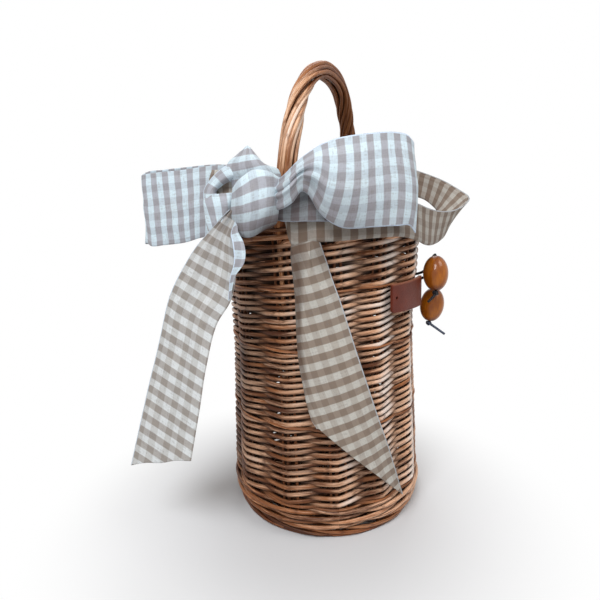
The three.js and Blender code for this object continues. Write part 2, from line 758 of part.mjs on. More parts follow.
// Left tail: points of its left and right edges, from the knot down to the cut end
const leftTail = [
  [[-36.09, 4.87, 1.65], [-28.3, 3.932, -0.667]],
  [[-46.44, 6.738, -3.1], [-30.15, 4.484, -4]],
  [[-53.64, 8.563, -8.2], [-36.52, 5.812, -8.5]],
  [[-58.58, 10.142, -14.25], [-40.51, 6.824, -14]],
  [[-61.41, 11.408, -20.267], [-43.26, 7.59, -19]],
  [[-64.37, 13.139, -26.567], [-45.56, 8.524, -24.167]],
  [[-66.5, 14.542, -32.883], [-47.68, 9.493, -28.667]],
];
// Right tail: azimuth and height of its left and right edges, from the wrap down to the slanting end
const rightTailTop = [-16, -3.3];
const rightTail = [
  [[-15.6, -3.833], [-1.5, -4]], [[-15.6, -8.333], [4.5, -8.833]], [[-14.9, -13.233], [11, -14.333]],
  [[-14.3, -16.9], [18, -21]], [[-12.7, -20.1], [26, -27.45]], [[-9.3, -24], [33.5, -33.333]],
  [[-6.8, -26.2], [40.5, -38.633]],
];

function tailGrid(leftEdge, rightEdge, wave) {
  const rows = 14;
  const columns = 5;
  const left = new THREE.CatmullRomCurve3(leftEdge);
  const right = new THREE.CatmullRomCurve3(rightEdge);
  return Array.from({ length: rows + 1 }, (_, i) => {
    const a = left.getPoint(i / rows);
    const b = right.getPoint(i / rows);
    return Array.from({ length: columns + 1 }, (__, j) => {
      const across = j / columns;
      return wave(a.clone().lerp(b, across), across, i / rows);
    });
  });
}

function makeTails() {
  const edge = (side) => leftTail.map((row) => ribbonPoint(row[side]));
  const fold = (p, v, t) => p.setY(p.y - tailFold * t * Math.sin(2 * Math.PI * v));
  const left = slab(tailGrid(edge(0), edge(1), fold), ribbonThickness);
  addPiece('ribbon_tail_left', cut(left, knotSolid(clearance)), cloth);

  const hang = (side) => {
    const azimuth = rightTailTop[side];
    const top = around(azimuth, wrapRadius, wrapLowAt(azimuth) - clearance);
    return [top, ...rightTail.map((row) => ribbonPoint([row[side][0], 0, row[side][1]]))];
  };
  const lie = (p, v, t) => {
    const azimuth = THREE.MathUtils.radToDeg(Math.atan2(p.x, -p.y));
    const swell = 0.5 * tailFold * Math.min(1, 4 * t) * Math.sin(Math.PI * v) ** 2;
    return around(azimuth, wrapRadius + swell, p.z);
  };
  const right = slab(tailGrid(hang(0), hang(1), lie), ribbonThickness);
  addPiece('ribbon_tail_right', right, cloth);
}

makeStakes();
for (let band = 0; band < bandFeet.length - 1; band += 1) makeBand(band);
makeWale();
makeFoot();
makeBorder();
makeBaseSticks();
makeBaseWeave();
makeHandle();
makeTag();
makeBead('upper', beadPlace(upperBeadAzimuth, upperBeadDrop, upperBeadStandoff, upperBeadLean));
makeBead('lower', beadPlace(lowerBeadAzimuth, lowerBeadDrop, lowerBeadStandoff, lowerBeadLean));
makeWrap();
addPiece('bow_knot', knotSolid(0), cloth);
makeLoop('bow_left_loop', leftLoop);
makeLoop('bow_right_loop', rightLoop);
makeTails();

export default basket;
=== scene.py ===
import math

import bpy
import numpy as np
from mathutils import Matrix, Vector


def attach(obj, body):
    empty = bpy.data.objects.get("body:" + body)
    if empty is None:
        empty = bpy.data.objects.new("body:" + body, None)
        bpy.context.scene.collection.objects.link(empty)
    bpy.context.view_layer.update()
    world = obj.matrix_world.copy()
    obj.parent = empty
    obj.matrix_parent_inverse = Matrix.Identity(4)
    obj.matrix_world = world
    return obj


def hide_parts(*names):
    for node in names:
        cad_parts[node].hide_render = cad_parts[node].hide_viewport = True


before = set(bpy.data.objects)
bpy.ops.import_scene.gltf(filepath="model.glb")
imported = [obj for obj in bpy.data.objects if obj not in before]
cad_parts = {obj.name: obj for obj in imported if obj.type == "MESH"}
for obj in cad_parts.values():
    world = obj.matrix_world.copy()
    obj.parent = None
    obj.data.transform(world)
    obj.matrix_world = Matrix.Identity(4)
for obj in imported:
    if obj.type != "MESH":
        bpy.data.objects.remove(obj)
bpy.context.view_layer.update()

# A small round willow basket with a tall twisted handle, a checked ribbon, a leather tag and two beads.
# Lengths are in millimetres until a mesh is made. Azimuth 0 is the front and grows to the right.
MM = 0.001
draw = np.random.default_rng(11)

# The camera, from where the rim, the foot and the handle look as they do in the photograph
CAMERA_PLACE = (-20.93, -433.73, 274.88)
CAMERA_PITCH = math.radians(11.23)
CAMERA_ROLL = math.radians(-1.94)
CAMERA_LENS = 28.18

# Outline of the wall over the crests of the weave, and the circle of uprights inside it
BODY_HEIGHT = 262.0
FOOT_RADIUS = 84.5
SHOULDER_RADIUS = 90.0
SHOULDER_HEIGHT = 28.0
WAIST_RADIUS = 85.7
WAIST_HEIGHT = 165.0
MOUTH_RADIUS = 90.5
STAKE_INSET = 4.846
STAKES = 12

# Most light falls on the wall from the right: rods are painted lighter, as highlight, towards these
# azimuths and darker away from them
BRIGHT_SIDE = 68.0
RIGHT_SIDE = 56.54
LOW_RIGHT_SIDE = 60.0


def aim_camera():
    lens = bpy.data.cameras.new("camera")
    lens.lens = CAMERA_LENS
    camera = bpy.data.objects.new("camera", lens)
    bpy.context.scene.collection.objects.link(camera)
    forward = Vector((0, math.cos(CAMERA_PITCH), -math.sin(CAMERA_PITCH)))
    level = Vector((1, 0, 0))
    upright = Vector((0, math.sin(CAMERA_PITCH), math.cos(CAMERA_PITCH)))
    right = level * math.cos(CAMERA_ROLL) + upright * math.sin(CAMERA_ROLL)
    above = upright * math.cos(CAMERA_ROLL) - level * math.sin(CAMERA_ROLL)
    turn = Matrix((right, above, -forward)).transposed().to_4x4()
    camera.matrix_world = Matrix.Translation(Vector(CAMERA_PLACE) * MM) @ turn
    bpy.context.scene.camera = camera


def ramp(value, low, high):
    """Goes from 0 to 1 as the value goes from low to high, and no further."""
    return np.clip((value - low) / (high - low), 0, 1)


def climb(value, low, high):
    """A ramp with soft ends."""
    t = ramp(value, low, high)
    return t * t * (3 - 2 * t)


def around(azimuth, radius, height):
    """Points at an azimuth in degrees, a radius and a height about the basket's axis."""
    a = np.radians(azimuth)
    return np.stack(np.broadcast_arrays(radius * np.sin(a), -radius * np.cos(a), height), -1)


def away(azimuth):
    """The level direction out of the basket at an azimuth."""
    return around(azimuth, 1.0, 0.0)


def facing(azimuth, side):
    """1 where the wall faces a side, and less to either hand, down to 0 a quarter turn on."""
    return np.clip(np.cos(np.radians(azimuth - side)), 0, 1) ** 2


def behind(azimuth):
    """1 over most of the back of the wall, 0 in front."""
    return np.clip(-2 * np.cos(np.radians(azimuth)), 0, 1)


def wall_radius(z):
    z = np.asarray(z, float)
    rounded = np.sin(np.pi / 2 * ramp(z, 0, SHOULDER_HEIGHT))
    foot = FOOT_RADIUS + (SHOULDER_RADIUS - FOOT_RADIUS) * rounded
    middle = SHOULDER_RADIUS + (WAIST_RADIUS - SHOULDER_RADIUS) * climb(z, SHOULDER_HEIGHT, WAIST_HEIGHT)
    upper = WAIST_RADIUS + (MOUTH_RADIUS - WAIST_RADIUS) * climb(z, WAIST_HEIGHT, BODY_HEIGHT)
    return np.where(z < SHOULDER_HEIGHT, foot, np.where(z < WAIST_HEIGHT, middle, upper))


def stake_circle(z):
    return wall_radius(z) - STAKE_INSET


def stake_azimuth(index):
    """Azimuth of a stake. Halves and other parts of a step lie evenly between stakes."""
    index = np.asarray(index, float)
    wave = np.radians(60.0 * index)
    return 1.7 + 30.0 * index + 1.8 * np.cos(wave) - 3.8 * np.sin(wave)


def smooth_rows(grid, count):
    """Lays count + 1 rows, evenly spaced, on a smooth surface or curve through the rows of grid."""
    grid = np.asarray(grid, float)
    step = np.linalg.norm(np.diff(grid[..., :3], axis=0), axis=-1)
    if step.ndim > 1:
        step = step.mean(-1)
    step = np.maximum(step, 1e-6)
    place = np.concatenate([[0], np.cumsum(step)])
    shape = (-1,) + (1,) * (grid.ndim - 1)
    slope = np.diff(grid, axis=0) / step.reshape(shape)
    before, after = step[:-1].reshape(shape), step[1:].reshape(shape)
    inner = (slope[:-1] * after + slope[1:] * before) / (before + after)
    lean = np.concatenate([slope[:1], inner, slope[-1:]])
    where = np.linspace(0, place[-1], count + 1)
    i = np.clip(np.searchsorted(place, where, side="right") - 1, 0, len(step) - 1)
    h = step[i].reshape(shape)
    t = ((where - place[i]) / step[i]).reshape(shape)
    start = (2 * t ** 3 - 3 * t ** 2 + 1) * grid[i] + (t ** 3 - 2 * t ** 2 + t) * h * lean[i]
    return start + (3 * t ** 2 - 2 * t ** 3) * grid[i + 1] + (t ** 3 - t ** 2) * h * lean[i + 1]


def row_places(grid):
    """How far each row of a grid lies from the first, measured along the grid."""
    step = np.linalg.norm(np.diff(grid, axis=0), axis=-1).mean(1)
    return np.concatenate([[0], np.cumsum(step)])


def soften(values, passes=3):
    """Rounds off the corners of a row of numbers and keeps its ends."""
    values = np.array(values, float)
    for _ in range(passes):
        values[1:-1] = (values[:-2] + 2 * values[1:-1] + values[2:]) / 4
    return values


def drift(count, every, size):
    """A slow random wander, with a number for each of count points."""
    knots = draw.normal(0, size, count // every + 3)
    return soften(np.interp(np.arange(count) / every, np.arange(len(knots)), knots), 4)


def floats(values):
    return np.ascontiguousarray(values, np.float32).ravel()


def set_values(mesh, name, values):
    mesh.attributes.new(name, "FLOAT", "POINT").data.foreach_set("value", floats(values))


def mesh_object(name, points, corners, sizes, uv, smooth):
    """An object from points in millimetres, the corners of its faces, and a UV place for each corner."""
    mesh = bpy.data.meshes.new(name)
    mesh.vertices.add(len(points))
    mesh.vertices.foreach_set("co", floats(points * MM))
    mesh.loops.add(len(corners))
    mesh.loops.foreach_set("vertex_index", np.ascontiguousarray(corners, np.int32))
    mesh.polygons.add(len(sizes))
    starts = np.concatenate([[0], np.cumsum(sizes)[:-1]])
    mesh.polygons.foreach_set("loop_start", np.ascontiguousarray(starts, np.int32))
    mesh.polygons.foreach_set("use_smooth", np.ascontiguousarray(smooth, bool))
    mesh.update(calc_edges=True)
    mesh.uv_layers.new(name="UVMap").data.foreach_set("uv", floats(uv))
    thing = bpy.data.objects.new(name, mesh)
    bpy.context.scene.collection.objects.link(thing)
    return thing


def apply_modifier(thing, kind, **settings):
    """Shapes a piece with a modifier and makes the new shape its own."""
    bpy.ops.object.select_all(action="DESELECT")
    thing.select_set(True)
    bpy.context.view_layer.objects.active = thing
    modifier = thing.modifiers.new(kind.lower(), kind)
    for key, value in settings.items():
        setattr(modifier, key, value)
    bpy.ops.object.modifier_apply(modifier=modifier.name)


def finish_piece(thing, finish, slot, *nodes, body="basket"):
    """Gives a piece its material, and says what it rides on and which solids it stands for. Its slot is not
    used.
    """
    thing.data.materials.append(finish)
    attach(thing, body)
    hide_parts(*nodes)


class Bundle:
    """Round rods gathered into one mesh. Each keeps its tone, and its UV map runs along and around it."""

    def __init__(self):
        kinds = ("points", "corners", "sizes", "uv", "smooth", "tone", "shade", "pale")
        self.lists = {kind: [] for kind in kinds}
        self.count = 0

    def keep(self, **values):
        for kind, value in values.items():
            self.lists[kind].append(value)

    def add(self, path, radius, guide, tone=None, shade=0.0, inside=None, under=0.0, pale=0.0, sides=10,
            closed=False, oval=1.0):
        """Sweeps a circle along path. The guide is a direction that is never along the path, and oval says
        how much wider the rod is across the guide than along it. Shade paints shade on the side that the
        guide points to, inside on the other one, and under on the lower half of a level rod. Pale paints
        highlight."""
        path = np.asarray(path, float)
        count = len(path)
        radius = np.broadcast_to(np.asarray(radius, float), (count,))
        tone = draw.random() if tone is None else tone
        if closed:
            tangent = np.roll(path, -1, 0) - np.roll(path, 1, 0)
        else:
            tangent = np.gradient(path, axis=0)
        tangent /= np.linalg.norm(tangent, axis=1, keepdims=True)
        guide = np.broadcast_to(np.asarray(guide, float), path.shape)
        out = guide - tangent * (guide * tangent).sum(1, keepdims=True)
        out /= np.linalg.norm(out, axis=1, keepdims=True)
        wide = np.cross(tangent, out) * math.sqrt(oval)
        angle = 2 * np.pi * np.arange(sides) / sides
        cos, sin = np.cos(angle), np.sin(angle)
        ring = out[:, None] * cos[None, :, None] / math.sqrt(oval) + wide[:, None] * sin[None, :, None]
        points = path[:, None] + radius[:, None, None] * ring
        rows = count if closed else count - 1
        i, j = np.meshgrid(np.arange(rows), np.arange(sides), indexing="ij")
        i, j = i.ravel(), j.ravel()
        after, beside = (i + 1) % count, (j + 1) % sides
        quads = np.stack([i * sides + j, i * sides + beside, after * sides + beside, after * sides + j], 1)
        length = np.concatenate([[0], np.cumsum(np.linalg.norm(np.diff(path, axis=0), axis=1))])
        length = np.append(length, length[-1] + np.linalg.norm(path[0] - path[-1]))
        near, far = length[i] * MM, length[i + 1] * MM
        left, right = j / sides, (j + 1) / sides
        uv = np.stack([np.stack(p, 1) for p in ((near, left), (near, right), (far, right), (far, left))], 1)
        self.keep(points=points.reshape(-1, 3), corners=(quads + self.count).ravel(), uv=uv.reshape(-1, 2),
                  sizes=np.full(len(quads), 4), smooth=np.ones(len(quads), bool))
        if not closed:
            ends = np.concatenate([np.arange(sides)[::-1], (count - 1) * sides + np.arange(sides)])
            self.keep(corners=ends + self.count, sizes=np.array([sides, sides]),
                      uv=np.full((2 * sides, 2), 0.5), smooth=np.zeros(2, bool))
        outer = np.broadcast_to(shade, (count,))[:, None]
        inner = outer if inside is None else np.broadcast_to(inside, (count,))[:, None]
        front = np.clip(0.5 + 0.8 * cos, 0, 1)
        beneath = under * ramp(sin, 0.1, 0.8)
        dark = outer * front + inner * (1 - front)
        self.keep(tone=np.full(count * sides, tone), shade=(1 - (1 - dark) * (1 - beneath)).ravel(),
                  pale=np.repeat(np.broadcast_to(pale, (count,)), sides))
        self.count += count * sides

    def build(self, name):
        whole = {kind: np.concatenate(values) for kind, values in self.lists.items()}
        thing = mesh_object(name, *[whole[kind] for kind in ("points", "corners", "sizes", "uv", "smooth")])
        for kind in ("tone", "shade", "pale"):
            set_values(thing.data, kind, whole[kind])
        return thing


def paint(red, green, blue):
    """A colour as a screen shows it, turned into the numbers that a shader takes."""
    linear = [c / 12.92 if c <= 0.04045 else ((c + 0.055) / 1.055) ** 2.4 for c in (red, green, blue)]
    return (*linear, 1.0)


# Materials
class Value:
    """A number or colour that changes over a surface. Sums on it add Math nodes to its tree."""

    def __init__(self, nodes, socket):
        self.nodes = nodes
        self.socket = socket

    def __add__(self, other):
        return self.nodes.math("ADD", self, other)

    def __radd__(self, other):
        return self.nodes.math("ADD", other, self)

    def __sub__(self, other):
        return self.nodes.math("SUBTRACT", self, other)

    def __rsub__(self, other):
        return self.nodes.math("SUBTRACT", other, self)

    def __mul__(self, other):
        return self.nodes.math("MULTIPLY", self, other)

    def __rmul__(self, other):
        return self.nodes.math("MULTIPLY", other, self)

    def __truediv__(self, other):
        return self.nodes.math("DIVIDE", self, other)


class Nodes:
    """A node tree, and the ways to add to it."""

    def __init__(self, tree):
        self.tree = tree

    def node(self, kind, settings=None, inputs=None, output=0):
        """Adds a node: its settings first, then the numbers and links of its sockets."""
        node = self.tree.nodes.new(kind)
        for key, value in (settings or {}).items():
            setattr(node, key, value)
        for key, value in (inputs or {}).items():
            if isinstance(value, Value):
                self.tree.links.new(value.socket, node.inputs[key])
            else:
                node.inputs[key].default_value = value
        return Value(self, node.outputs[output])

    def math(self, operation, first, second=0.0):
        return self.node("ShaderNodeMath", {"operation": operation}, {0: first, 1: second})

    def clamp(self, value):
        return self.node("ShaderNodeClamp", None, {0: value})

    def band(self, value, low, high):
        """Climbs from 0 to 1 as the value goes from low to high."""
        inputs = {0: value, 1: low, 2: high}
        return self.node("ShaderNodeMapRange", {"interpolation_type": "SMOOTHSTEP"}, inputs)

    def colour(self, factor, first, second):
        """Goes from the first colour to the second: each a value, or three numbers as on a screen."""
        first, second = [c if isinstance(c, Value) else paint(*c) for c in (first, second)]
        return self.node("ShaderNodeMix", {"data_type": "RGBA"}, {0: factor, 6: first, 7: second}, 2)

    def along(self):
        """The piece's UV map, whole and as two numbers."""
        uv = self.node("ShaderNodeUVMap", {"uv_map": "UVMap"})
        u, v = [self.node("ShaderNodeSeparateXYZ", None, {0: uv}, k) for k in (0, 1)]
        return uv, u, v

    def object_place(self):
        return self.node("ShaderNodeTexCoord", None, None, 3)

    def point(self, x, y, z):
        return self.node("ShaderNodeCombineXYZ", None, {0: x, 1: y, 2: z})

    def attribute(self, name):
        return self.node("ShaderNodeAttribute", {"attribute_name": name}, None, 2)

    def noise(self, vector, scale, detail=3.0, roughness=0.5):
        inputs = {"Vector": vector, "Scale": scale, "Detail": detail, "Roughness": roughness}
        return self.node("ShaderNodeTexNoise", None, inputs)

    def bump(self, height, strength, distance):
        inputs = {"Height": height, "Strength": strength, "Distance": distance}
        return self.node("ShaderNodeBump", None, inputs)

    def seen_bare(self):
        """1 for what the camera sees, straight or by mirror or glass, and 0 for the light of the room."""
        camera, glossy, through = [self.node("ShaderNodeLightPath", None, None, ray) for ray in (0, 3, 6)]
        return self.math("MAXIMUM", self.math("MAXIMUM", camera, glossy), through)


class Finish(Nodes):
    """A material. Its constants go to the shader's own sockets."""

    def __init__(self, name, **constants):
        self.material = bpy.data.materials.new(name)
        self.material.use_nodes = True
        super().__init__(self.material.node_tree)
        self.shader = self.tree.nodes["Principled BSDF"]
        for key, value in constants.items():
            self.shader.inputs[key.replace("_", " ")].default_value = value

    def feed(self, **links):
        for key, value in links.items():
            self.tree.links.new(value.socket, self.shader.inputs[key.replace("_", " ")])
        return self.material


def willow_finish(name, deep, middle, light, gloss=0.22):
    """Stained willow: streaks and small leaf scars along each rod, with painted shade and painted highlight
    carried by its shade and pale attributes.
    """
    f = Finish(name, Coat_Roughness=0.25, Specular_IOR_Level=gloss)
    _, u, v = f.along()
    tone, shade, pale = [f.attribute(kind) for kind in ("tone", "shade", "pale")]
    turn = v * (2 * math.pi)
    x, y = f.math("COSINE", turn), f.math("SINE", turn)
    start = tone * 61.0

    def speckle(around_rod, along_rod, detail, roughness):
        place = f.point(x * around_rod, y * around_rod, u * along_rod + start)
        return f.noise(place, 1.0, detail, roughness)

    streak = speckle(0.8, 26.0, 4.0, 0.6)
    grain = speckle(3.5, 90.0, 3.0, 0.6)
    fleck = speckle(1.6, 330.0, 2.0, 0.5)
    scar_place = f.math("FRACT", u * 17.0 + tone * 7.3 + streak * 0.35)
    scar = 1.0 - f.band(f.math("ABSOLUTE", scar_place - 0.5), 0.012, 0.04)
    stained = f.band(streak * 0.75 + tone * 0.35 - 0.05, 0.3, 0.72)
    # Pale streaks of the wood together with painted highlight where the pale attribute is high; shine is
    # the whitish colour of that painted highlight, and the coat is raised there too.
    streaks_and_highlight = f.band(grain * 0.7 + streak * 0.5 + pale * 0.42, 0.58, 0.88)
    shine = f.colour(f.band(pale, 0.45, 1.1), light, (0.96, 0.89, 0.84))
    colour = f.colour(stained, deep, middle)
    colour = f.colour(streaks_and_highlight * 0.9, colour, shine)
    colour = f.colour(f.band(fleck, 0.6, 0.72) * 0.4, colour, deep)
    colour = f.colour(scar * 0.5, colour, deep)
    # Painted shade from the shade attribute: behind the stakes, in the gaps, beneath and inside the rods,
    # and away from the light.
    colour = f.colour(shade * 0.93, colour, (0.112, 0.070, 0.051))
    height = grain * 0.5 + fleck * 0.3 + scar * 0.8
    return f.feed(Base_Color=colour, Roughness=0.36 + 0.2 * fleck + 0.3 * shade,
                  Coat_Weight=f.clamp(0.04 + 0.5 * pale), Normal=f.bump(height, 0.35, 0.0004))


# The ribbon in metres: its width, its hem, one check, and one thread
RIBBON = 0.066
HEM = 0.0011
CHECK = 0.006
THREAD = 0.0009


def cloth_finish(name, white, faint, strong, full, hemmed):
    """Checked cotton: faint stripes along the ribbon, strong ones across it, and a hem at each edge."""
    f = Finish(name, Specular_IOR_Level=0.15, Sheen_Weight=0.1, Sheen_Roughness=0.5)
    uv, u, v = f.along()
    wobble = f.noise(uv, 160.0, 2.0) - 0.5

    def stripes(place):
        wave = f.math("PINGPONG", (place + wobble * 0.0006) / (2 * CHECK) + 0.25, 0.5)
        return f.band(wave, 0.22, 0.28)

    def threads(across, along, seed):
        return f.noise(f.point(u * across, v * along, seed), 1.0, 2.0)

    faint_stripe, strong_stripe = stripes(u), stripes(v)
    inset = f.math("ABSOLUTE", u - RIBBON / 2)
    edge = f.band(inset, RIBBON / 2 - HEM, RIBBON / 2 - HEM + 0.0003)
    warp, weft = [f.math("SINE", place * (2 * math.pi / THREAD)) for place in (u, v)]
    yarn_along = threads(2400.0, 260.0, 0.0)
    yarn = yarn_along + threads(260.0, 2400.0, 3.0)
    slub = threads(800.0, 110.0, 5.0) + threads(110.0, 800.0, 8.0)
    plain, crossed = f.colour(faint_stripe, white, faint), f.colour(faint_stripe, strong, full)
    colour = f.colour(strong_stripe, plain, crossed)
    colour = f.colour(edge, colour, hemmed)
    colour = f.colour(f.band(yarn, 0.8, 1.3) * 0.16, colour, (0.42, 0.39, 0.38))
    colour = f.colour(f.band(slub, 1.0, 1.35) * 0.34, colour, (0.50, 0.47, 0.46))
    colour = f.colour(f.band(f.noise(uv, 45.0, 3.0), 0.45, 0.8) * 0.1, colour, (0.75, 0.68, 0.60))
    colour = f.colour(f.attribute("shade"), colour, (0.25, 0.135, 0.06))
    height = warp * weft * 0.25 + yarn * 0.6 + edge * 0.5
    return f.feed(Base_Color=colour, Roughness=0.82 + 0.1 * yarn_along, Normal=f.bump(height, 0.3, 0.0003))


def leather_finish():
    """Waxed leather with pores, a little paler to the right and at its worn upper edge."""
    f = Finish("tag leather", Specular_IOR_Level=0.3)
    place = f.object_place()
    cells = f.node("ShaderNodeTexVoronoi", {"feature": "DISTANCE_TO_EDGE"},
                   {"Vector": place, "Scale": 900.0, "Randomness": 1.0})
    pore = f.band(cells, 0.02, 0.25)
    cloud = f.noise(place, 55.0, 4.0)
    fine = f.noise(place, 700.0, 3.0)
    right = f.node("ShaderNodeSeparateXYZ", None, {0: place})
    colour = f.colour(f.band(cloud, 0.35, 0.7), (0.36, 0.13, 0.075), (0.455, 0.18, 0.10))
    colour = f.colour(f.band(right, 0.05, 0.09) * 0.5, colour, (0.43, 0.19, 0.10))
    colour = f.colour((1.0 - pore) * 0.35, colour, (0.24, 0.10, 0.07))
    colour = f.colour(f.attribute("edge") * 0.6, colour, (0.66, 0.42, 0.31))
    return f.feed(Base_Color=colour, Roughness=0.42 + 0.2 * fine,
                  Normal=f.bump(pore * 0.6 + fine * 0.5, 0.35, 0.0003))


def bead_finish():
    """Varnished wood: rings of grain that run from bore to bore."""
    f = Finish("bead wood", Coat_Weight=0.4, Coat_Roughness=0.08, Specular_IOR_Level=0.2)
    _, u, v = f.along()
    grain = f.noise(f.point(u * 9.0, v * 1.4, 0.0), 1.0, 4.0, 0.6)
    line = f.noise(f.point(u * 46.0, v * 2.6, 2.0), 1.0, 3.0)
    ends = f.band(f.math("ABSOLUTE", v - 0.5), 0.34, 0.5)
    colour = f.colour(f.band(grain, 0.3, 0.7), (0.53, 0.265, 0.03), (0.67, 0.385, 0.055))
    colour = f.colour(f.band(line, 0.5, 0.72) * 0.3, colour, (0.42, 0.20, 0.05))
    colour = f.colour(ends * 0.8, colour, (0.34, 0.13, 0.03))
    return f.feed(Base_Color=colour, Roughness=0.26 + 0.1 * line, Normal=f.bump(line, 0.08, 0.0002))


def cord_finish(name, dark, light):
    """Waxed cord: two plies twisted round each other."""
    f = Finish(name, Specular_IOR_Level=0.3)
    _, u, v = f.along()
    ply = f.math("SINE", (u * 520.0 + v * 2.0) * (2 * math.pi))
    fuzz = f.noise(f.point(u * 1400.0, v * 9.0, 0.0), 1.0, 2.0)
    colour = f.colour(f.band(ply * 0.5 + 0.5, 0.1, 0.9) * 0.6 + fuzz * 0.3, dark, light)
    return f.feed(Base_Color=colour, Roughness=0.6 + 0.2 * fuzz,
                  Normal=f.bump(ply * 0.5 + fuzz * 0.4, 0.6, 0.0004))


weaver_willow = willow_finish("woven willow", (0.32, 0.16, 0.065), (0.65, 0.41, 0.245),
                              (0.93, 0.74, 0.60))
stake_willow = willow_finish("upright willow", (0.27, 0.13, 0.055), (0.52, 0.29, 0.15),
                             (0.78, 0.54, 0.37))
handle_willow = willow_finish("handle willow", (0.45, 0.235, 0.09), (0.74, 0.48, 0.28),
                              (0.93, 0.76, 0.62), 0.3)
# Copies of one checked cotton, each with its light painted in: cool light in the whites of the loops and
# knot, neutral light on the hanging left tail, and painted shade where the ribbon lies on the dark willow,
# under the loops and inside the knot.
cool_lit_checked_cotton = cloth_finish("checked cotton", (0.85, 0.92, 0.955), (0.79, 0.85, 0.89),
                              (0.695, 0.705, 0.74), (0.63, 0.63, 0.655), (0.82, 0.88, 0.95))
neutral_lit_checked_cotton = cloth_finish("checked cotton, painted neutral light", (0.86, 0.875, 0.88), (0.79, 0.795, 0.79),
                            (0.69, 0.675, 0.66), (0.61, 0.585, 0.56), (0.82, 0.87, 0.92))
shaded_checked_cotton = cloth_finish("checked cotton, painted shade", (0.76, 0.75, 0.72), (0.70, 0.675, 0.64),
                            (0.57, 0.515, 0.465), (0.52, 0.46, 0.41), (0.72, 0.74, 0.76))
tag_leather = leather_finish()
bead_wood = bead_finish()
black_cord = cord_finish("black waxed cord", (0.05, 0.05, 0.06), (0.20, 0.19, 0.21))
# The lower knot's cord is the same black cord with a painted blue-grey highlight.
highlit_black_cord = cord_finish("black waxed cord, painted highlight", (0.11, 0.12, 0.16), (0.42, 0.46, 0.55))

aim_camera()

# Beads and cords: centre and lean of each bead, the route of its cord and of the tail below the knot,
# both measured from the bead's centre, and how far the cord stands straight out of the bore
BEAD_RADIUS = 10.65
BEAD_LENGTH = 29.5
BEAD_END = 3.5
BORE_RADIUS = 1.45
CORD_RADIUS = 1.15
KNOT_CORD_RADIUS = 1.05
KNOT_DROP = 2.5
KNOT_SIZE = 0.62
BEADS = {
    "upper": {
        "centre": (97.507, -29.997, 214.4),
        "axis": (0.052943, 0.265679, 0.962607),
        "route": [(-19, 7.7, -1), (-15.6, 6.7, -1.2), (-12.3, 6.5, -0.4), (-8.5, 9.4, 0.4),
                  (-4.4, 12.2, 2.6), (-1.6, 13.6, 6), (-0.1, 13.3, 9.6), (0.5, 11.2, 12.7), (0.8, 8, 14.7),
                  (0.9, 5.3, 15.4)],
        "mouth": 0.1,
        "tail": [(-3, -6.5, -18.9), (-6, -7.5, -21.6), (-8.3, -8, -23.7)],
        "knot_finish": black_cord,
    },
    "lower": {
        "centre": (100.112, -11.938, 182.7),
        "axis": (0.161496, 0.064992, 0.984731),
        "route": [(-20, -5.2, 22.4), (-16.7, -5.3, 22.7), (-12.6, -4.4, 24.7), (-7.8, -3.1, 26.4),
                  (-3.1, -1.7, 25.9), (0.5, -0.3, 23.1)],
        "mouth": 2.5,
        "tail": [(1.8, -2.1, -20.4), (6.5, -3.1, -23.9), (11.1, -4.1, -27.3)],
        "knot_finish": highlit_black_cord,
    },
}


def model_bead(name, centre, axis):
    """A barrel turned from wood: a stretched ball with its ends cut flat and bored through."""
    half = BEAD_LENGTH / 2
    stretch = half / math.sqrt(1 - (BEAD_END / BEAD_RADIUS) ** 2) / BEAD_RADIUS
    bpy.ops.object.select_all(action="DESELECT")
    bpy.ops.mesh.primitive_uv_sphere_add(segments=64, ring_count=40, radius=BEAD_RADIUS * MM)
    bead = bpy.context.object
    bpy.ops.object.mode_set(mode="EDIT")
    bpy.ops.transform.resize(value=(1, 1, stretch), center_override=(0, 0, 0))
    for side in (1, -1):
        level = (0, 0, side * half * MM)
        bpy.ops.mesh.select_all(action="SELECT")
        bpy.ops.mesh.bisect(plane_co=level, plane_no=(0, 0, side), clear_outer=True, threshold=1e-6)
        bpy.ops.mesh.extrude_edges_move()
        share = BORE_RADIUS / BEAD_END
        bpy.ops.transform.resize(value=(share, share, 1), center_override=level)
    bpy.ops.mesh.select_mode(type="EDGE")
    bpy.ops.mesh.select_all(action="DESELECT")
    bpy.ops.mesh.select_non_manifold()
    bpy.ops.mesh.bridge_edge_loops()
    bpy.ops.mesh.select_all(action="SELECT")
    bpy.ops.mesh.normals_make_consistent(inside=False)
    bpy.ops.object.mode_set(mode="OBJECT")
    apply_modifier(bead, "BEVEL", width=0.7 * MM, segments=4, limit_method="ANGLE",
                   angle_limit=math.radians(35))
    mesh = bead.data
    mesh.shade_smooth()
    points = np.array([mesh.vertices[loop.vertex_index].co[:] for loop in mesh.loops])
    turn = np.arctan2(points[:, 1], points[:, 0]) / (2 * np.pi)
    for face in mesh.polygons:
        corners = list(face.loop_indices)
        spread = turn[corners]
        if spread.max() - spread.min() > 0.5:
            turn[corners] = np.where(spread < 0, spread + 1, spread)
    place = np.stack([turn, points[:, 2] / (BEAD_LENGTH * MM) + 0.5], 1)
    mesh.uv_layers[0].data.foreach_set("uv", floats(place))
    tilt = Vector((0, 0, 1)).rotation_difference(Vector(axis)).to_matrix().to_4x4()
    mesh.transform(Matrix.Translation(Vector(centre) * MM) @ tilt)
    bead.name = name
    mesh.name = name
    return bead


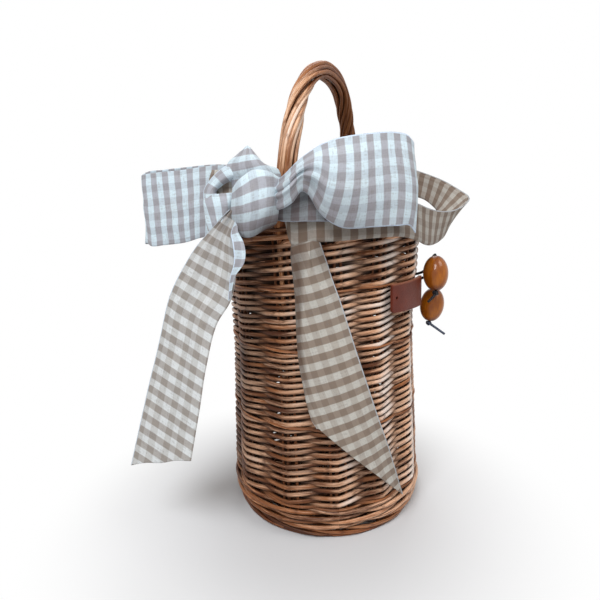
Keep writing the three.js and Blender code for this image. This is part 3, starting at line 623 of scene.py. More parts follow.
def string_bead(which, facts):
    """One bead with its cord, and the knot and tail that keep it on."""
    centre, axis = np.array(facts["centre"]), np.array(facts["axis"])
    bead = model_bead(f"wooden_bead_{which}", centre, axis)
    finish_piece(bead, bead_wood, "bead_wood", f"bead_{which}", body=f"bead_{which}")

    half = BEAD_LENGTH / 2
    route = [centre + offset for offset in facts["route"]]
    route += [centre + axis * reach for reach in (half + facts["mouth"], half - 1, 0, -half)]
    path = smooth_rows(route, 38)
    strand = Bundle()
    strand.add(path, CORD_RADIUS, (0, -0.958, 0.287), tone=0.4, sides=12)
    cord = strand.build(f"bead_cord_{which}")
    finish_piece(cord, black_cord, "waxed_cord", f"cord_{which}")

    middle = centre - axis * (half + KNOT_DROP)
    turn = np.linspace(0, 2 * np.pi, 49)[:-1]
    loops = np.stack([np.sin(turn) + 2 * np.sin(2 * turn), np.cos(turn) - 2 * np.cos(2 * turn),
                      -1.9 * np.sin(3 * turn)], 1)
    knot = Bundle()
    knot.add(middle + loops * KNOT_SIZE, KNOT_CORD_RADIUS, (0.05, 0.08, 1), tone=0.4, sides=12, closed=True)
    tail = smooth_rows([middle] + [centre + offset for offset in facts["tail"]], 16)
    knot.add(tail, np.linspace(1.2, 1.1, 17), (0, -1, 0.4), tone=0.6, sides=12)
    end = knot.build(f"end_knot_{which}")
    finish_piece(end, facts["knot_finish"], "waxed_cord", f"knot_{which}")

    tuple(path[0] * MM)
    [tuple(p * MM) for p in path]


for which, facts in BEADS.items():
    string_bead(which, facts)


# Wall: each band is woven from twelve rods that start one beside the other and climb a rod's thickness
# with every stake they pass, in front of one and behind the next. Two thin rings lie below each band.
BAND_FEET = (28.4, 97.4, 161.4, 210.8, 251.8)
BAND_PASSES = (22, 24, 18, 13)
BAND_THICKNESS = (1.88, 1.8, 1.7, 1.78)
# How much each band's wall is flattened between stakes
BAND_FLATNESS = (1.7, 1.7, 1.7, 0.7)
# Height of a rod's start over its band's foot, how far it dips or rises between stakes, and its wander
ROD_START = 1.2
ROD_WAVE = 0.5
ROD_WANDER = 0.36
ROD_OVAL = 1.28
UPRIGHT_RADIUS = 1.9
ROD_GAP = 0.35
# How fast a rod's loose ends turn inwards
END_TURN = 2.5
RING_RADIUS = 1.15
RING_PITCH = 1.1
RING_SWING = 3.2
# Points from one stake to the next
STEPS = 8
once_round = np.arange(0, STAKES, 1 / STEPS)


def paint_light_on_rod(azimuth, swing, place):
    """A wall rod is painted in shade behind the stakes and away from the light, and carries painted
    highlight towards the right and where it has just come forward."""
    right = facing(azimuth, RIGHT_SIDE)
    shade_away_from_light = 0.24 * (1 - np.cos(np.radians(azimuth - BRIGHT_SIDE))) ** 0.8
    lit = np.clip(1 - np.abs(place % 2 - 1.2) / 0.4, 0, 1)
    pale = 0.34 * right + lit * (0.4 + 0.5 * right) + draw.normal(0, 0.13) + drift(len(place), 7, 0.14)
    shade = np.maximum(ramp(swing, 1.9, -1.3), shade_away_from_light)
    return {"shade": shade, "inside": ramp(swing, -2.2, 1.2), "pale": pale}


def weave_band(number):
    foot, top, passes = BAND_FEET[number], BAND_FEET[number + 1], BAND_PASSES[number]
    bundle = Bundle()
    place = np.arange(-3, passes * STEPS + 4) / STEPS
    count = len(place)
    rise = (place - 0.05 * place ** 2 / passes) / (0.95 * passes)
    thin = 1 - 0.1 * ramp(place, 0, passes)
    tip = np.clip((passes + 0.5 - place) / 1.6, 0.45, 1)
    side = 1 - 2 * np.abs(place % 2 - 1)
    loose = np.maximum(-place, place - passes)
    flat = BAND_FLATNESS[number] * (1 - (2 * (place % 1) - 1) ** 2)
    for j in range(STAKES):
        radius = BAND_THICKNESS[number] * draw.uniform(0.94, 1.08) * thin * tip
        height = foot + ROD_START + (top - foot - 1.0) * rise + drift(count, 11, ROD_WANDER)
        height -= ROD_WAVE * np.sin(np.pi * place)
        reach = UPRIGHT_RADIUS + radius + ROD_GAP + drift(count, 9, ROD_WANDER / 3)
        swing = np.where(loose > 0, -reach - END_TURN * loose, soften(side * reach))
        azimuth = stake_azimuth(j + place)
        path = around(azimuth, stake_circle(height) + swing - flat, height)
        fuller = np.maximum(0.18 * behind(azimuth), 0.12 * ramp(swing, 0, -3))
        radius = radius * (1 - 0.07 * ramp(swing, 0, 3) + fuller)
        # Painted light on each rod: shade behind the stakes, inside, underneath and away from the light,
        # and highlight towards the right.
        painted_light = paint_light_on_rod(azimuth, swing, place)
        bundle.add(path, radius, away(azimuth), under=0.6, oval=ROD_OVAL, **painted_light)
    azimuth = stake_azimuth(once_round)
    for ring in (0, 1):
        swing = RING_SWING * np.cos(np.pi * (once_round + ring))
        height = foot + 0.4 + ring * RING_PITCH + 0.25 * np.sin(once_round * 2.1)
        path = around(azimuth, stake_circle(height) + swing, height)
        # The rings are painted in shade behind the stakes and on their inner side.
        bundle.add(path, RING_RADIUS, away(azimuth), tone=0.4 + 0.3 * ring, shade=ramp(swing, 1.6, -1.7),
                   inside=0.5, closed=True)
    band = bundle.build(f"wall_band_{number + 1}")
    node = f"band_{number + 1}_weaver_"
    finish_piece(band, weaver_willow, "willow_weaver", node + "a", node + "b")


# Wale: how far each rod stands out, and how it slants, over the three stakes that it passes
WALE_SWING = (3.55, 3.75, -3.6, 3.55)
WALE_SLANT = (-0.9, 0.9, 0.0, -0.9)
WALE_FOOT = 11.3
WALE_PITCH = 3.07
WALE_RADIUS = 1.72


def weave_wale():
    """Six courses above the foot, in front of two stakes and behind one, each a stake ahead of the last."""
    bundle = Bundle()
    azimuth = stake_azimuth(once_round)
    for course in range(6):
        phase = (once_round + course + 1) % 3
        swing = np.interp(phase, [0, 1, 2, 3], WALE_SWING)
        swing = soften(np.concatenate([swing[-6:], swing, swing[:6]]))[6:-6]
        height = WALE_FOOT + WALE_PITCH * course + np.interp(phase, [0, 1, 2, 3], WALE_SLANT)
        path = around(azimuth, stake_circle(height) + swing, height)
        radius = WALE_RADIUS * draw.uniform(0.96, 1.04) * (1 + 0.15 * behind(azimuth))
        # Painted shade where a rod goes behind a stake, inside and underneath, and painted highlight
        # towards the lower right.
        bundle.add(path, radius, away(azimuth), shade=ramp(swing, 1.0, -2.4), inside=0.2, under=0.5,
                   pale=0.5 * facing(azimuth, LOW_RIGHT_SIDE), closed=True)
    wale = bundle.build("foot_wale")
    finish_piece(wale, weaver_willow, "willow_weaver", *[f"wale_rod_{k}" for k in range(1, 5)])


FOOT_RING_RADIUS = 81.8
FOOT_RING_HEIGHT = 2.35
FOOT_ROD_RADIUS = 2.3
# Foot: each strand's stakes passed, height and radius on its way down, in and up behind the ring
FOOT_STRAND = [(-0.25, 12.5, 79.5), (0.05, 9.6, 81.6), (0.5, 7.0, 83.4), (1.05, 5.0, 84.3),
               (1.55, 3.2, 83.9), (1.95, 2.6, 81.5), (2.2, 3.2, 79.0)]


def lay_foot():
    """A thick rod to stand on, and the strands that slant down to it and tuck in."""
    bundle = Bundle()
    turn = np.arange(0, 360, 3.0)
    ring = around(turn, FOOT_RING_RADIUS + 0.3 * np.sin(np.radians(turn * 5)), FOOT_RING_HEIGHT)
    bundle.add(ring, FOOT_ROD_RADIUS, away(turn), tone=0.5, closed=True, sides=14)
    for k in range(STAKES):
        points = [around(stake_azimuth(k + s), r, z + draw.normal(0, 0.2)) for s, z, r in FOOT_STRAND]
        path = smooth_rows(points, 30)
        # Each strand is painted in shade at its upper end, under the wale, and painted lighter, as
        # highlight, towards the lower right.
        bundle.add(path, np.linspace(1.75, 1.35, 31), path * (1, 1, 0),
                   shade=0.5 * climb(np.linspace(1, -2, 31), 0, 1),
                   pale=0.5 * facing(stake_azimuth(k + 1), LOW_RIGHT_SIDE))
    finish_piece(bundle.build("foot_rods"), stake_willow, "willow_stake", "foot_ring")


# Uprights: how many degrees each of three stands beside its stake's place, its radius and lower end
UPRIGHTS = ((0.0, 1.8, 5.2), (4.0, 1.25, 9.0), (-4.0, 1.2, 9.0))
UPRIGHT_TOP = 251.0
SHORT_UPRIGHT_TOP = 200.0


def set_stakes():
    """The uprights, each with a thinner rod at either hand. Two end low, under the handle's legs."""
    bundle = Bundle()
    # Every upright is painted in shade.
    for k in range(STAKES):
        under_handle = k in (5, 11)
        for beside, radius, low in UPRIGHTS:
            top = SHORT_UPRIGHT_TOP if under_handle and not beside else UPRIGHT_TOP
            height = np.linspace(low, top, 40)
            azimuth = stake_azimuth(k) + beside + drift(40, 8, 0.35)
            path = around(azimuth, stake_circle(height), height)
            bundle.add(path, np.linspace(radius, radius * 0.85, 40), away(azimuth), shade=0.45, sides=8)
    stakes = bundle.build("uprights")
    finish_piece(stakes, stake_willow, "willow_stake", *[f"stake_{k:02d}" for k in range(1, STAKES + 1)])


# Border: the stakes passed, the height, and how far out of the circle of stakes
BORDER_ROD = [(0, 245.0, 0.0), (0.1, 248.5, 0.9), (0.4, 251.0, 2.6), (1.0, 253.0, 4.0), (1.5, 254.6, 0.4),
              (2.0, 256.0, -4.1), (2.5, 257.4, -1.0), (3.0, 258.8, 3.9), (3.5, 259.6, 1.5)]


def turn_border():
    """Every stake's end bent to the right: in front of the next, behind the one after, and tucked in."""
    bundle = Bundle()
    for k in range(STAKES):
        points = [around(stake_azimuth(k + s), stake_circle(z) + out, z) for s, z, out in BORDER_ROD]
        path = smooth_rows(points, 48)
        bright = math.cos(math.radians(float(stake_azimuth(k + 1.5)) - BRIGHT_SIDE))
        bundle.add(path, np.linspace(2.2, 1.7, 49), (0, 0, 1) + path * (0.002, 0.002, 0),
                   shade=0.25 * (1 - bright), pale=0.4 * max(0.0, bright))
    finish_piece(bundle.build("border"), weaver_willow, "willow_weaver", "border_rod_a", "border_rod_b")


# Base: three sticks through three pierced ones, opened out like spokes, with weavers round them
SPOKE_HEIGHT = 7.4
SPOKE_LENGTH = 79.0
SPOKE_KNEE = 16
SPOKE_GAP = 5.3
CROSSING_HEIGHT = 2.6
PIERCED_RADIUS = 2.55
THROUGH_RADIUS = 2.0
BASE_START = 26
BASE_PITCH = 2.95
BASE_WAVE = 3.5
BASE_RADIUS = 1.4
BASE_ROUNDS = 8
BASE_STEPS = 5


def spoke_ends(index):
    """Where a spoke leaves the crossing of the sticks, and where it ends."""
    quarter = round(index / 3)
    offset = (index - 3 * quarter) * SPOKE_GAP
    x, y = ((0, -1), (1, 0), (0, 1), (-1, 0))[quarter % 4]
    knee = np.array([x * SPOKE_KNEE - y * offset, y * SPOKE_KNEE + x * offset, SPOKE_HEIGHT])
    return knee, around(stake_azimuth(index), SPOKE_LENGTH, SPOKE_HEIGHT)


def lay_base():
    bundle = Bundle()
    pierced = [(3 + i, 9 - i, PIERCED_RADIUS) for i in (-1, 0, 1)]
    through = [(i, 6 - i, THROUGH_RADIUS) for i in (-1, 0, 1)]
    for near, far, radius in pierced + through:
        (near_knee, near_tip), (far_knee, far_tip) = spoke_ends(near), spoke_ends(far)
        middle = (near_knee + far_knee) / 2
        inner = [middle + (knee - middle) * share for knee, share in
                 ((near_knee, 0.62), (near_knee, 0.3), (far_knee, 0.3), (far_knee, 0.62))]
        for point in inner:
            point[2] = CROSSING_HEIGHT
        path = smooth_rows([near_tip, near_knee, *inner, far_knee, far_tip], 60)
        bundle.add(path, radius, (0, 0, 1), sides=12)
    nodes = [f"base_stick_{kind}_{k}" for kind in ("pierced", "through") for k in (1, 2, 3)]
    finish_piece(bundle.build("base_sticks"), stake_willow, "willow_stake", *nodes)

    bundle = Bundle()
    for strand in (0, 1):
        place = np.arange(0, BASE_ROUNDS * STAKES * BASE_STEPS + 1) / BASE_STEPS
        radius = BASE_START + BASE_PITCH * (strand + 2 * place / STAKES)
        points = []
        for s, r in zip(place, radius):
            low = int(math.floor(s))
            sides = []
            for k in (0, 1):
                knee, tip = spoke_ends((low + k) % STAKES)
                start = np.linalg.norm(knee[:2])
                sides.append(knee + (tip - knee) * (r - start) / (SPOKE_LENGTH - start))
            point = sides[0] * (1 - s + low) + sides[1] * (s - low)
            points.append(point * r / max(np.linalg.norm(point[:2]), 1))
        path = np.array(points)
        path[:, 2] = SPOKE_HEIGHT + soften(BASE_WAVE * np.cos(np.pi * (place + strand)), 2)
        radius = BASE_RADIUS + drift(len(path), 12, 0.05)
        bundle.add(path, radius, (0, 0, 1) + path * (0.01, 0.01, 0), sides=8)
    weave = bundle.build("base_weave")
    finish_piece(weave, weaver_willow, "willow_weaver", "base_weaver_a", "base_weaver_b")


# Handle: two groups of five rods laid round a core and twisted slowly over an arch
HANDLE_AZIMUTH = -24.1
HANDLE_LEAN = 0.084
ARCH_FOOT = 252.0
ARCH_SPAN = 85.65
ARCH_RISE = 133.1
# How square the arch is: powers of the cosine and the sine that draw it
ARCH_SPAN_POWER = 0.854
ARCH_RISE_POWER = 0.8
# Radius of a rod, of the circle the rods lie on and of the core: low in the weave, and what the arch adds
HANDLE_ROD = (1.1, 0.42)
HANDLE_RING = (2.8, 2.5)
HANDLE_CORE = (2.4, 1.1)
HANDLE_START = 2.72
# Turns made evenly all along the handle, and the quicker ones between two places on it
SLOW_TURN = 0.12
QUICK_TURNS = ((0.5, 0.17, 0.43), (0.45, 0.58, 0.82))
ROD_SPREAD = 0.58
LEG_FOOT = 199.5
LEG_TOP = 254.0


def handle_place(along, z):
    azimuth = HANDLE_AZIMUTH + 2.1 * climb(z, BODY_HEIGHT, BODY_HEIGHT + 25)
    lean = HANDLE_LEAN * np.maximum(0, z - BODY_HEIGHT)
    return around(azimuth, along, z) + around(azimuth + 90, lean, 0 * z)


def twist_handle():
    """The arch from its near leg over to the far one, with its turns where the photograph has them."""
    angle = np.linspace(0, np.pi, 400)
    cos, sin = np.cos(angle), np.sin(angle)
    along = ARCH_SPAN * np.sign(cos) * np.abs(cos) ** ARCH_SPAN_POWER
    centre = smooth_rows(handle_place(along, ARCH_FOOT + ARCH_RISE * sin ** ARCH_RISE_POWER), 180)
    count = len(centre)
    tangent = np.gradient(centre, axis=0)
    tangent /= np.linalg.norm(tangent, axis=1, keepdims=True)
    sideways = away(HANDLE_AZIMUTH + 90)
    outward = np.cross(tangent, sideways)
    outward /= np.linalg.norm(outward, axis=1, keepdims=True)
    share = np.linspace(0, 1, count)
    rise = climb(centre[:, 2], 250, 272)
    swell = 1 + 0.14 * climb(share * 1.4, 0, 1)
    turned = SLOW_TURN * share + sum(turns * climb(share, low, high) for turns, low, high in QUICK_TURNS)
    rod, ring_radius, core = [(low + more * rise) for low, more in (HANDLE_ROD, HANDLE_RING, HANDLE_CORE)]
    # Painted light: highlight on the middle of the near leg, and painted shade on the rest, deepest over
    # the far half.
    lit = np.exp(-((share - 0.24) / 0.11) ** 2)
    shade = 0.24 - 0.2 * lit + 0.3 * climb(3.4 * share, 1.8, 2.8)
    bundle = Bundle()
    for k in range(10):
        group, member = divmod(k, 5)
        radius = rod * swell * draw.uniform(0.85, 1.12) * (1 + drift(count, 30, 0.05))
        ring = ring_radius * swell * (1 + drift(count, 16, 0.1))
        turn = HANDLE_START + np.pi * group + ROD_SPREAD * (member - 2) - 2 * np.pi * turned
        turn += drift(count, 20, 0.12)
        spoke = outward * np.cos(turn)[:, None] + sideways * np.sin(turn)[:, None]
        bundle.add(centre + ring[:, None] * spoke, radius, sideways + 0.3 * outward, shade=shade,
                   pale=(0.7 + 0.4 * (member % 2)) * lit - 0.25, sides=14)
    # The legs and the core are painted in shade.
    for side in (1, -1):
        z = np.linspace(LEG_FOOT, LEG_TOP, 16)
        bundle.add(handle_place(side * stake_circle(z), z), UPRIGHT_RADIUS, sideways, shade=0.2)
    bundle.add(centre, core, sideways, shade=0.7)
    rods = [f"handle_rod_{k}" for k in range(1, 7)]
    finish_piece(bundle.build("handle"), handle_willow, "willow_handle", "handle_bow", *rods)


for number in range(4):
    weave_band(number)
weave_wale()
lay_foot()
set_stakes()
turn_border()
lay_base()
twist_handle()

# Tag: azimuths of its ends, heights of its edges, and its stitch hole
TAG_LEFT = 33.5
TAG_RIGHT = 69.0
TAG_BOTTOM = 188.0
TAG_TOP = 213.5
TAG_THICKNESS = 2.4
TAG_SEAT = 1.5
TAG_TAPER = 3
TAG_CORNER = 1.2
WORN_EDGE = 1.2
TAG_LIFT = 0.055
TAG_LIFT_FROM = 57.5
HOLE_AZIMUTH = 36.6
HOLE_HEIGHT = 202.4
HOLE_RADIUS = 1.3


def model_tag():
    """A strip of thick leather that lies on the wall, its left end standing off a little."""
    bpy.ops.object.select_all(action="DESELECT")
    bpy.ops.mesh.primitive_grid_add(x_subdivisions=40, y_subdivisions=14, size=1.0)
    tag = bpy.context.object
    mesh = tag.data
    flat = np.array([v.co[:] for v in mesh.vertices])
    across, up = flat[:, 0] + 0.5, flat[:, 1] + 0.5
    azimuth = TAG_LEFT + (TAG_RIGHT - TAG_LEFT) * across
    seat = float(wall_radius(TAG_TOP)) + TAG_SEAT
    wave = 0.25 * np.sin(across * 9) * (1 - up)
    radius = seat + TAG_LIFT * np.maximum(0, TAG_LIFT_FROM - azimuth) + wave
    bottom = TAG_BOTTOM + TAG_TAPER * (1 - across)
    corner = TAG_CORNER * (np.abs(2 * across - 1) > 0.99) * (np.abs(2 * up - 1) > 0.9)
    height = bottom + (TAG_TOP - bottom) * up - corner * np.sign(up - 0.5)
    mesh.vertices.foreach_set("co", floats(around(azimuth, radius, height) * MM))
    mesh.update()
    bpy.ops.object.mode_set(mode="EDIT")
    bpy.ops.mesh.select_all(action="SELECT")
    bpy.ops.mesh.normals_make_consistent(inside=False)
    bpy.ops.object.mode_set(mode="OBJECT")
    middle_face = mesh.polygons[len(mesh.polygons) // 2]
    if np.dot(np.array(middle_face.normal), away((TAG_LEFT + TAG_RIGHT) / 2)) < 0:
        mesh.flip_normals()
    apply_modifier(tag, "SOLIDIFY", thickness=TAG_THICKNESS * MM, offset=0.0)
    place = around(HOLE_AZIMUTH, seat + TAG_LIFT * (TAG_LIFT_FROM - HOLE_AZIMUTH), HOLE_HEIGHT) * MM
    turn = (math.pi / 2, 0, math.radians(HOLE_AZIMUTH))
    bpy.ops.object.select_all(action="DESELECT")
    bpy.ops.mesh.primitive_cylinder_add(vertices=32, radius=HOLE_RADIUS * MM, depth=12 * MM,
                                        location=tuple(place), rotation=turn)
    punch = bpy.context.object
    apply_modifier(tag, "BOOLEAN", operation="DIFFERENCE", object=punch)
    bpy.data.objects.remove(punch)
    apply_modifier(tag, "BEVEL", width=0.5 * MM, segments=3, limit_method="ANGLE",
                   angle_limit=math.radians(50))
    tag.data.shade_smooth()
    height = np.array([v.co.z for v in tag.data.vertices]) / MM
    set_values(tag.data, "edge", np.clip(height - (TAG_TOP - WORN_EDGE), 0, 1))
    tag.name = "leather_strip"
    tag.data.name = tag.name
    finish_piece(tag, tag_leather, "tag_leather", "leather_tag")


model_tag()

# Ribbon: each part is a sheet laid through rows of points. A row's points run across the ribbon.
RIBBON_WIDTH = 66.0
CLOTH_THICKNESS = 0.7
RIPPLE_WAVES = 7
RIPPLE_ACROSS = 0.16
RIPPLE_ALONG = 0.09


def lay_cloth(name, node, grid, across, size, lengths=None, start=0.0, ripple=0.0, seed=1,
              finish=cool_lit_checked_cotton, shade=0.0, gather=0.0, width=RIBBON_WIDTH):
    """A sheet through a grid of points in millimetres, with size rows and columns of faces. Across gives
    how far each column lies from the ribbon's left edge; the way down it is measured on the sheet, or
    given for each point by lengths. Shade darkens the cloth where it lies under other folds: one number,
    or one for each row or point of the grid. Gather is the depth of the pleats that form where the
    ribbon is drawn together. Width, that of the flat ribbon that the sheet is a piece of, is not used."""
    grid = np.asarray(grid, float)
    if lengths is None:
        lengths = np.repeat((start + row_places(grid))[:, None], grid.shape[1], 1)
    across = np.broadcast_to(np.asarray(across, float), grid.shape[:2])
    shade = np.asarray(shade, float)
    shade = np.broadcast_to(shade[:, None] if shade.ndim == 1 else shade, grid.shape[:2])
    extra = np.stack([across, np.asarray(lengths, float), shade], -1)
    full = smooth_rows(np.concatenate([grid, extra], -1), size[0])
    full = smooth_rows(full.transpose(1, 0, 2), size[1]).transpose(1, 0, 2)
    points, u, v = full[..., :3], full[..., 3], full[..., 4]
    down, side = np.gradient(points, axis=0), np.gradient(points, axis=1)
    normal = np.cross(side, down)
    area = float(np.linalg.norm(normal, axis=-1).sum())
    normal /= np.maximum(np.linalg.norm(normal, axis=-1, keepdims=True), 1e-9)
    if ripple:
        chance = np.random.default_rng(seed)
        wave = np.zeros(points.shape[:2])
        for _ in range(RIPPLE_WAVES):
            ku, kv = chance.normal(0, RIPPLE_ACROSS), chance.normal(0, RIPPLE_ALONG)
            wave += np.sin(u * ku + v * kv + chance.uniform(0, 6.3))
        room = np.linalg.norm(side, axis=-1) / np.maximum(np.abs(np.gradient(u, axis=1)), 1e-6)
        room = np.clip(room, 0, 1)
        pleats = gather * np.sin(u * 0.3 + 0.9 * np.sin(u * 0.13 + seed) + seed) * (1 - room)
        points = points + normal * (ripple * wave / RIPPLE_WAVES * room ** 2 + pleats)[..., None]
    count = points.shape[1]
    i, j = np.meshgrid(np.arange(points.shape[0] - 1), np.arange(count - 1), indexing="ij")
    corner = (i * count + j).ravel()
    quads = np.stack([corner, corner + 1, corner + count + 1, corner + count], 1)
    uv = full[..., 3:5].reshape(-1, 2)[quads.ravel()] * MM
    sheet = mesh_object(name, points.reshape(-1, 3), quads.ravel(), np.full(len(quads), 4), uv,
                        np.ones(len(quads), bool))
    set_values(sheet.data, "shade", np.clip(full[..., 5].ravel(), 0, 1))
    apply_modifier(sheet, "SOLIDIFY", thickness=CLOTH_THICKNESS * MM, offset=0.0)
    finish_piece(sheet, finish, "checked_cloth", node)
    width * MM
    area / width * MM


# The wrap: azimuth, how far its lower and upper edges stand out, and their heights over the body's top
WRAP_RADIUS = 94.53
WRAP_STATIONS = [
    (-30, 0, 0, 3, 19), (-18.5, 0, 0, 3, 19), (-16.5, 0, 0, -12, 19), (-5, 0, 0, -12.5, 19),
    (20, 0, 0, -11.5, 18), (38, 0, 0, -12, 15), (49, 1, 0.6, -16, 12.5), (59, 2.4, 3, -21, 8.5),
    (70, 6, 10, -22, 5.5), (82, 15, 24, -17, 6), (90, 19, 38, -10, 11), (96, 20, 46, -4, 17),
    (102, 23, 43.5, 2, 24), (109, 27, 38, 8, 33), (116, 26, 32.5, 16, 40), (126, 21, 25, 21, 48),
    (141, 8, 9, 24, 53), (158, 0.5, 0, 23, 52), (180, 0, 0, 12, 42), (205, 0, 0, 0, 31),
    (232, 0, 0, -9, 22), (260, 0, 0, -13, 19), (295, 0, 0, -13, 19), (312, 0, 0, -11, 19),
    (318, 0, 0, 2, 19), (330, 0, 0, 3, 19),
]
# Across the folded strip: its outer or inner layer, how far up the wrap, and how far along the width
WRAP_LAYERS = [
    (1, 1.0, 0), (1, 0.75, 8.2), (1, 0.5, 16.5), (1, 0.25, 24.7), (1, 0.06, 31.2), (0, 0.0, 33),
    (-1, 0.06, 34.8), (-1, 0.3, 42), (-1, 0.6, 52), (-1, 0.93, 65),
]


def wrap_rim():
    """A strip folded in half lengthwise, its fold below and both hems above, round the rim."""
    rows = []
    for azimuth, low_out, top_out, low, top in WRAP_STATIONS:
        row = []
        for layer, share, _ in WRAP_LAYERS:
            out = low_out + (top_out - low_out) * share + 0.55 * layer
            row.append(around(azimuth, WRAP_RADIUS + out, BODY_HEIGHT + low + (top - low) * share))
        rows.append(row)
    shade = np.interp([station[0] for station in WRAP_STATIONS], [20, 60, 95, 115, 160, 290, 318],
                      [0.3, 0.16, 0.1, 0.22, 0.06, 0.05, 0.3])
    shade[:4] = 0.36
    lay_cloth("ribbon_wrap_strip", "ribbon_wrap", rows,
              [width for _, _, width in WRAP_LAYERS], (300, 40), ripple=0.5, seed=3, finish=shaded_checked_cotton,
              shade=shade)


# The knot: its peak behind, its band in front, and the folds at its left. Rows run down the ribbon.
KNOT_PEAK = [
    [(-57.4, -86, 314.6), (-55.7, -85, 316), (-54.2, -85, 316.3), (-52.9, -85, 315.6), (-50.8, -86, 313)],
    [(-56.7, -92, 315.3), (-54.8, -94, 316.6), (-53.3, -95, 316.9), (-52.1, -95, 316.2),
     (-50.6, -93, 314.3)],
    [(-62.2, -92, 311.1), (-57.3, -98, 311.3), (-53, -100, 311.6), (-49.6, -100, 311.2),
     (-46.7, -95, 309.5)],
    [(-67.9, -91, 306.8), (-60.1, -100, 306.2), (-52.9, -104, 306.3), (-46.4, -104, 306.4),
     (-41.2, -97, 304)],
    [(-69, -93, 301.4), (-60.3, -101, 300.6), (-51.7, -105, 301), (-42.9, -105, 301.7),
     (-33.4, -97, 301.1)],
    [(-66.7, -92, 294.9), (-58.9, -99, 294.3), (-49.5, -103, 294.4), (-39.9, -103, 294.8),
     (-31, -96, 293.6)],
    [(-66, -90, 288.1), (-58.2, -96, 287.7), (-48.9, -99, 287.2), (-40.6, -98, 287), (-32.4, -94, 286.9)],
]
KNOT_BAND = [
    [(-61.8, -96, 291.5), (-56.3, -102, 296.4), (-49.7, -104.5, 300.3), (-41.1, -103, 299.5),
     (-33, -95, 295.4)],
    [(-64.4, -98.5, 289.5), (-58, -106.5, 294.9), (-49.4, -109, 299.4), (-40.1, -108, 298.2),
     (-31.2, -99, 294.1)],
    [(-65.3, -99, 284.7), (-56.7, -110, 287.1), (-47.6, -112.5, 289), (-39, -111, 289.1),
     (-31.1, -102, 286.9)],
    [(-66.6, -99, 278.3), (-57.1, -110.5, 278.3), (-48.1, -113, 279.3), (-39.4, -112, 280),
     (-32, -103, 279.5)],
    [(-67.2, -98, 271.8), (-57.6, -109.5, 271), (-48.5, -112.5, 271.4), (-40.2, -111, 272.1),
     (-33.7, -103, 272.1)],
    [(-66.4, -97, 265.1), (-58.4, -107, 263.2), (-50.6, -109.5, 263), (-42.8, -107, 264.7),
     (-35.1, -101, 265.3)],
    [(-63.5, -96, 257.8), (-57.6, -102, 255.8), (-52.2, -103, 256), (-45.9, -101, 259.2),
     (-38.9, -98, 261.8)],
    [(-61.5, -90, 255.1), (-57.2, -93, 254.4), (-53.1, -94, 255.4), (-48, -93, 258.7), (-41.5, -91, 261.6)],
]
KNOT_FOLD = [
    [(-66.3, -90, 306.3), (-63.4, -97.5, 301.9), (-61, -97, 297.5), (-60.3, -92, 295.4), (-60.5, -88, 295)],
    [(-71.3, -89, 304.3), (-68.5, -96.5, 300.5), (-66, -96.5, 296.7), (-65.4, -91.5, 294.9),
     (-65.6, -87, 294.8)],
    [(-77.5, -87, 300.1), (-74.5, -94, 297.5), (-72, -94.5, 294.6), (-71.1, -90.5, 293.1),
     (-71.5, -86.5, 293.3)],
    [(-83.5, -84, 294.9), (-80.1, -91, 293.2), (-77.3, -92.3, 291.2), (-75.9, -89.5, 290.2),
     (-76.1, -86, 290.5)],
    [(-87.4, -83, 289.8), (-83.6, -89.8, 288.8), (-80.6, -91.5, 287.9), (-78.6, -90, 287.5),
     (-78.4, -87, 287.8)],
    [(-88.5, -83, 285.3), (-84.7, -89.5, 284.7), (-81.2, -91.8, 284.5), (-79, -91, 285),
     (-78.2, -88.5, 285.6)],
    [(-88.2, -84, 281.3), (-84.3, -90, 281.1), (-80.7, -93, 281.6), (-78.3, -92.7, 282.9),
     (-77.1, -91, 283.9)],
]
KNOT_INSIDE = [
    [(-81, -84, 302.8), (-76.5, -85, 302.6), (-71.2, -86.5, 303), (-66.1, -88, 302), (-60.3, -90, 300.3)],
    [(-83.7, -84, 295.2), (-78.5, -85, 295), (-72.5, -86.5, 294.7), (-66.6, -88, 294.1),
     (-61.4, -90, 293.5)],
    [(-84.5, -84, 288.9), (-78.9, -85, 288.7), (-72.8, -87, 288.4), (-67.6, -88.5, 288.2), (-63, -91, 288)],
    [(-84.6, -86, 282.5), (-78.8, -88, 282.3), (-72.8, -90, 282.1), (-68.4, -91, 281.9),
     (-64.7, -92, 281.8)],
]
KNOT_SIDE = [
    [(-84.6, -85, 284.8), (-80.1, -88, 284.5), (-74.8, -89.5, 284.5), (-69.7, -90, 285),
     (-65.1, -90, 285.4)],
    [(-87, -86, 284.3), (-80.5, -92, 284.9), (-74.5, -95.5, 285.2), (-69, -97, 285.5), (-64.3, -96, 285.8)],
    [(-87.8, -87, 280.9), (-80.7, -94, 280.9), (-74.4, -98, 280.9), (-69, -99.5, 280.9),
     (-65.1, -97, 280.9)],
    [(-87.6, -88, 274.8), (-81.1, -94.5, 274.6), (-75.2, -98, 274.5), (-70.2, -98.5, 274.6),
     (-66.4, -95.5, 274.9)],
    [(-87, -89, 268.1), (-81.7, -93.5, 267.8), (-76.6, -96.5, 267.6), (-72, -96.5, 267.4),
     (-68.1, -94, 267.4)],
    [(-85.4, -90, 259.8), (-81.7, -93, 259.5), (-77.6, -94, 259.1), (-73.7, -94, 258.9),
     (-69.6, -92.5, 259.1)],
]
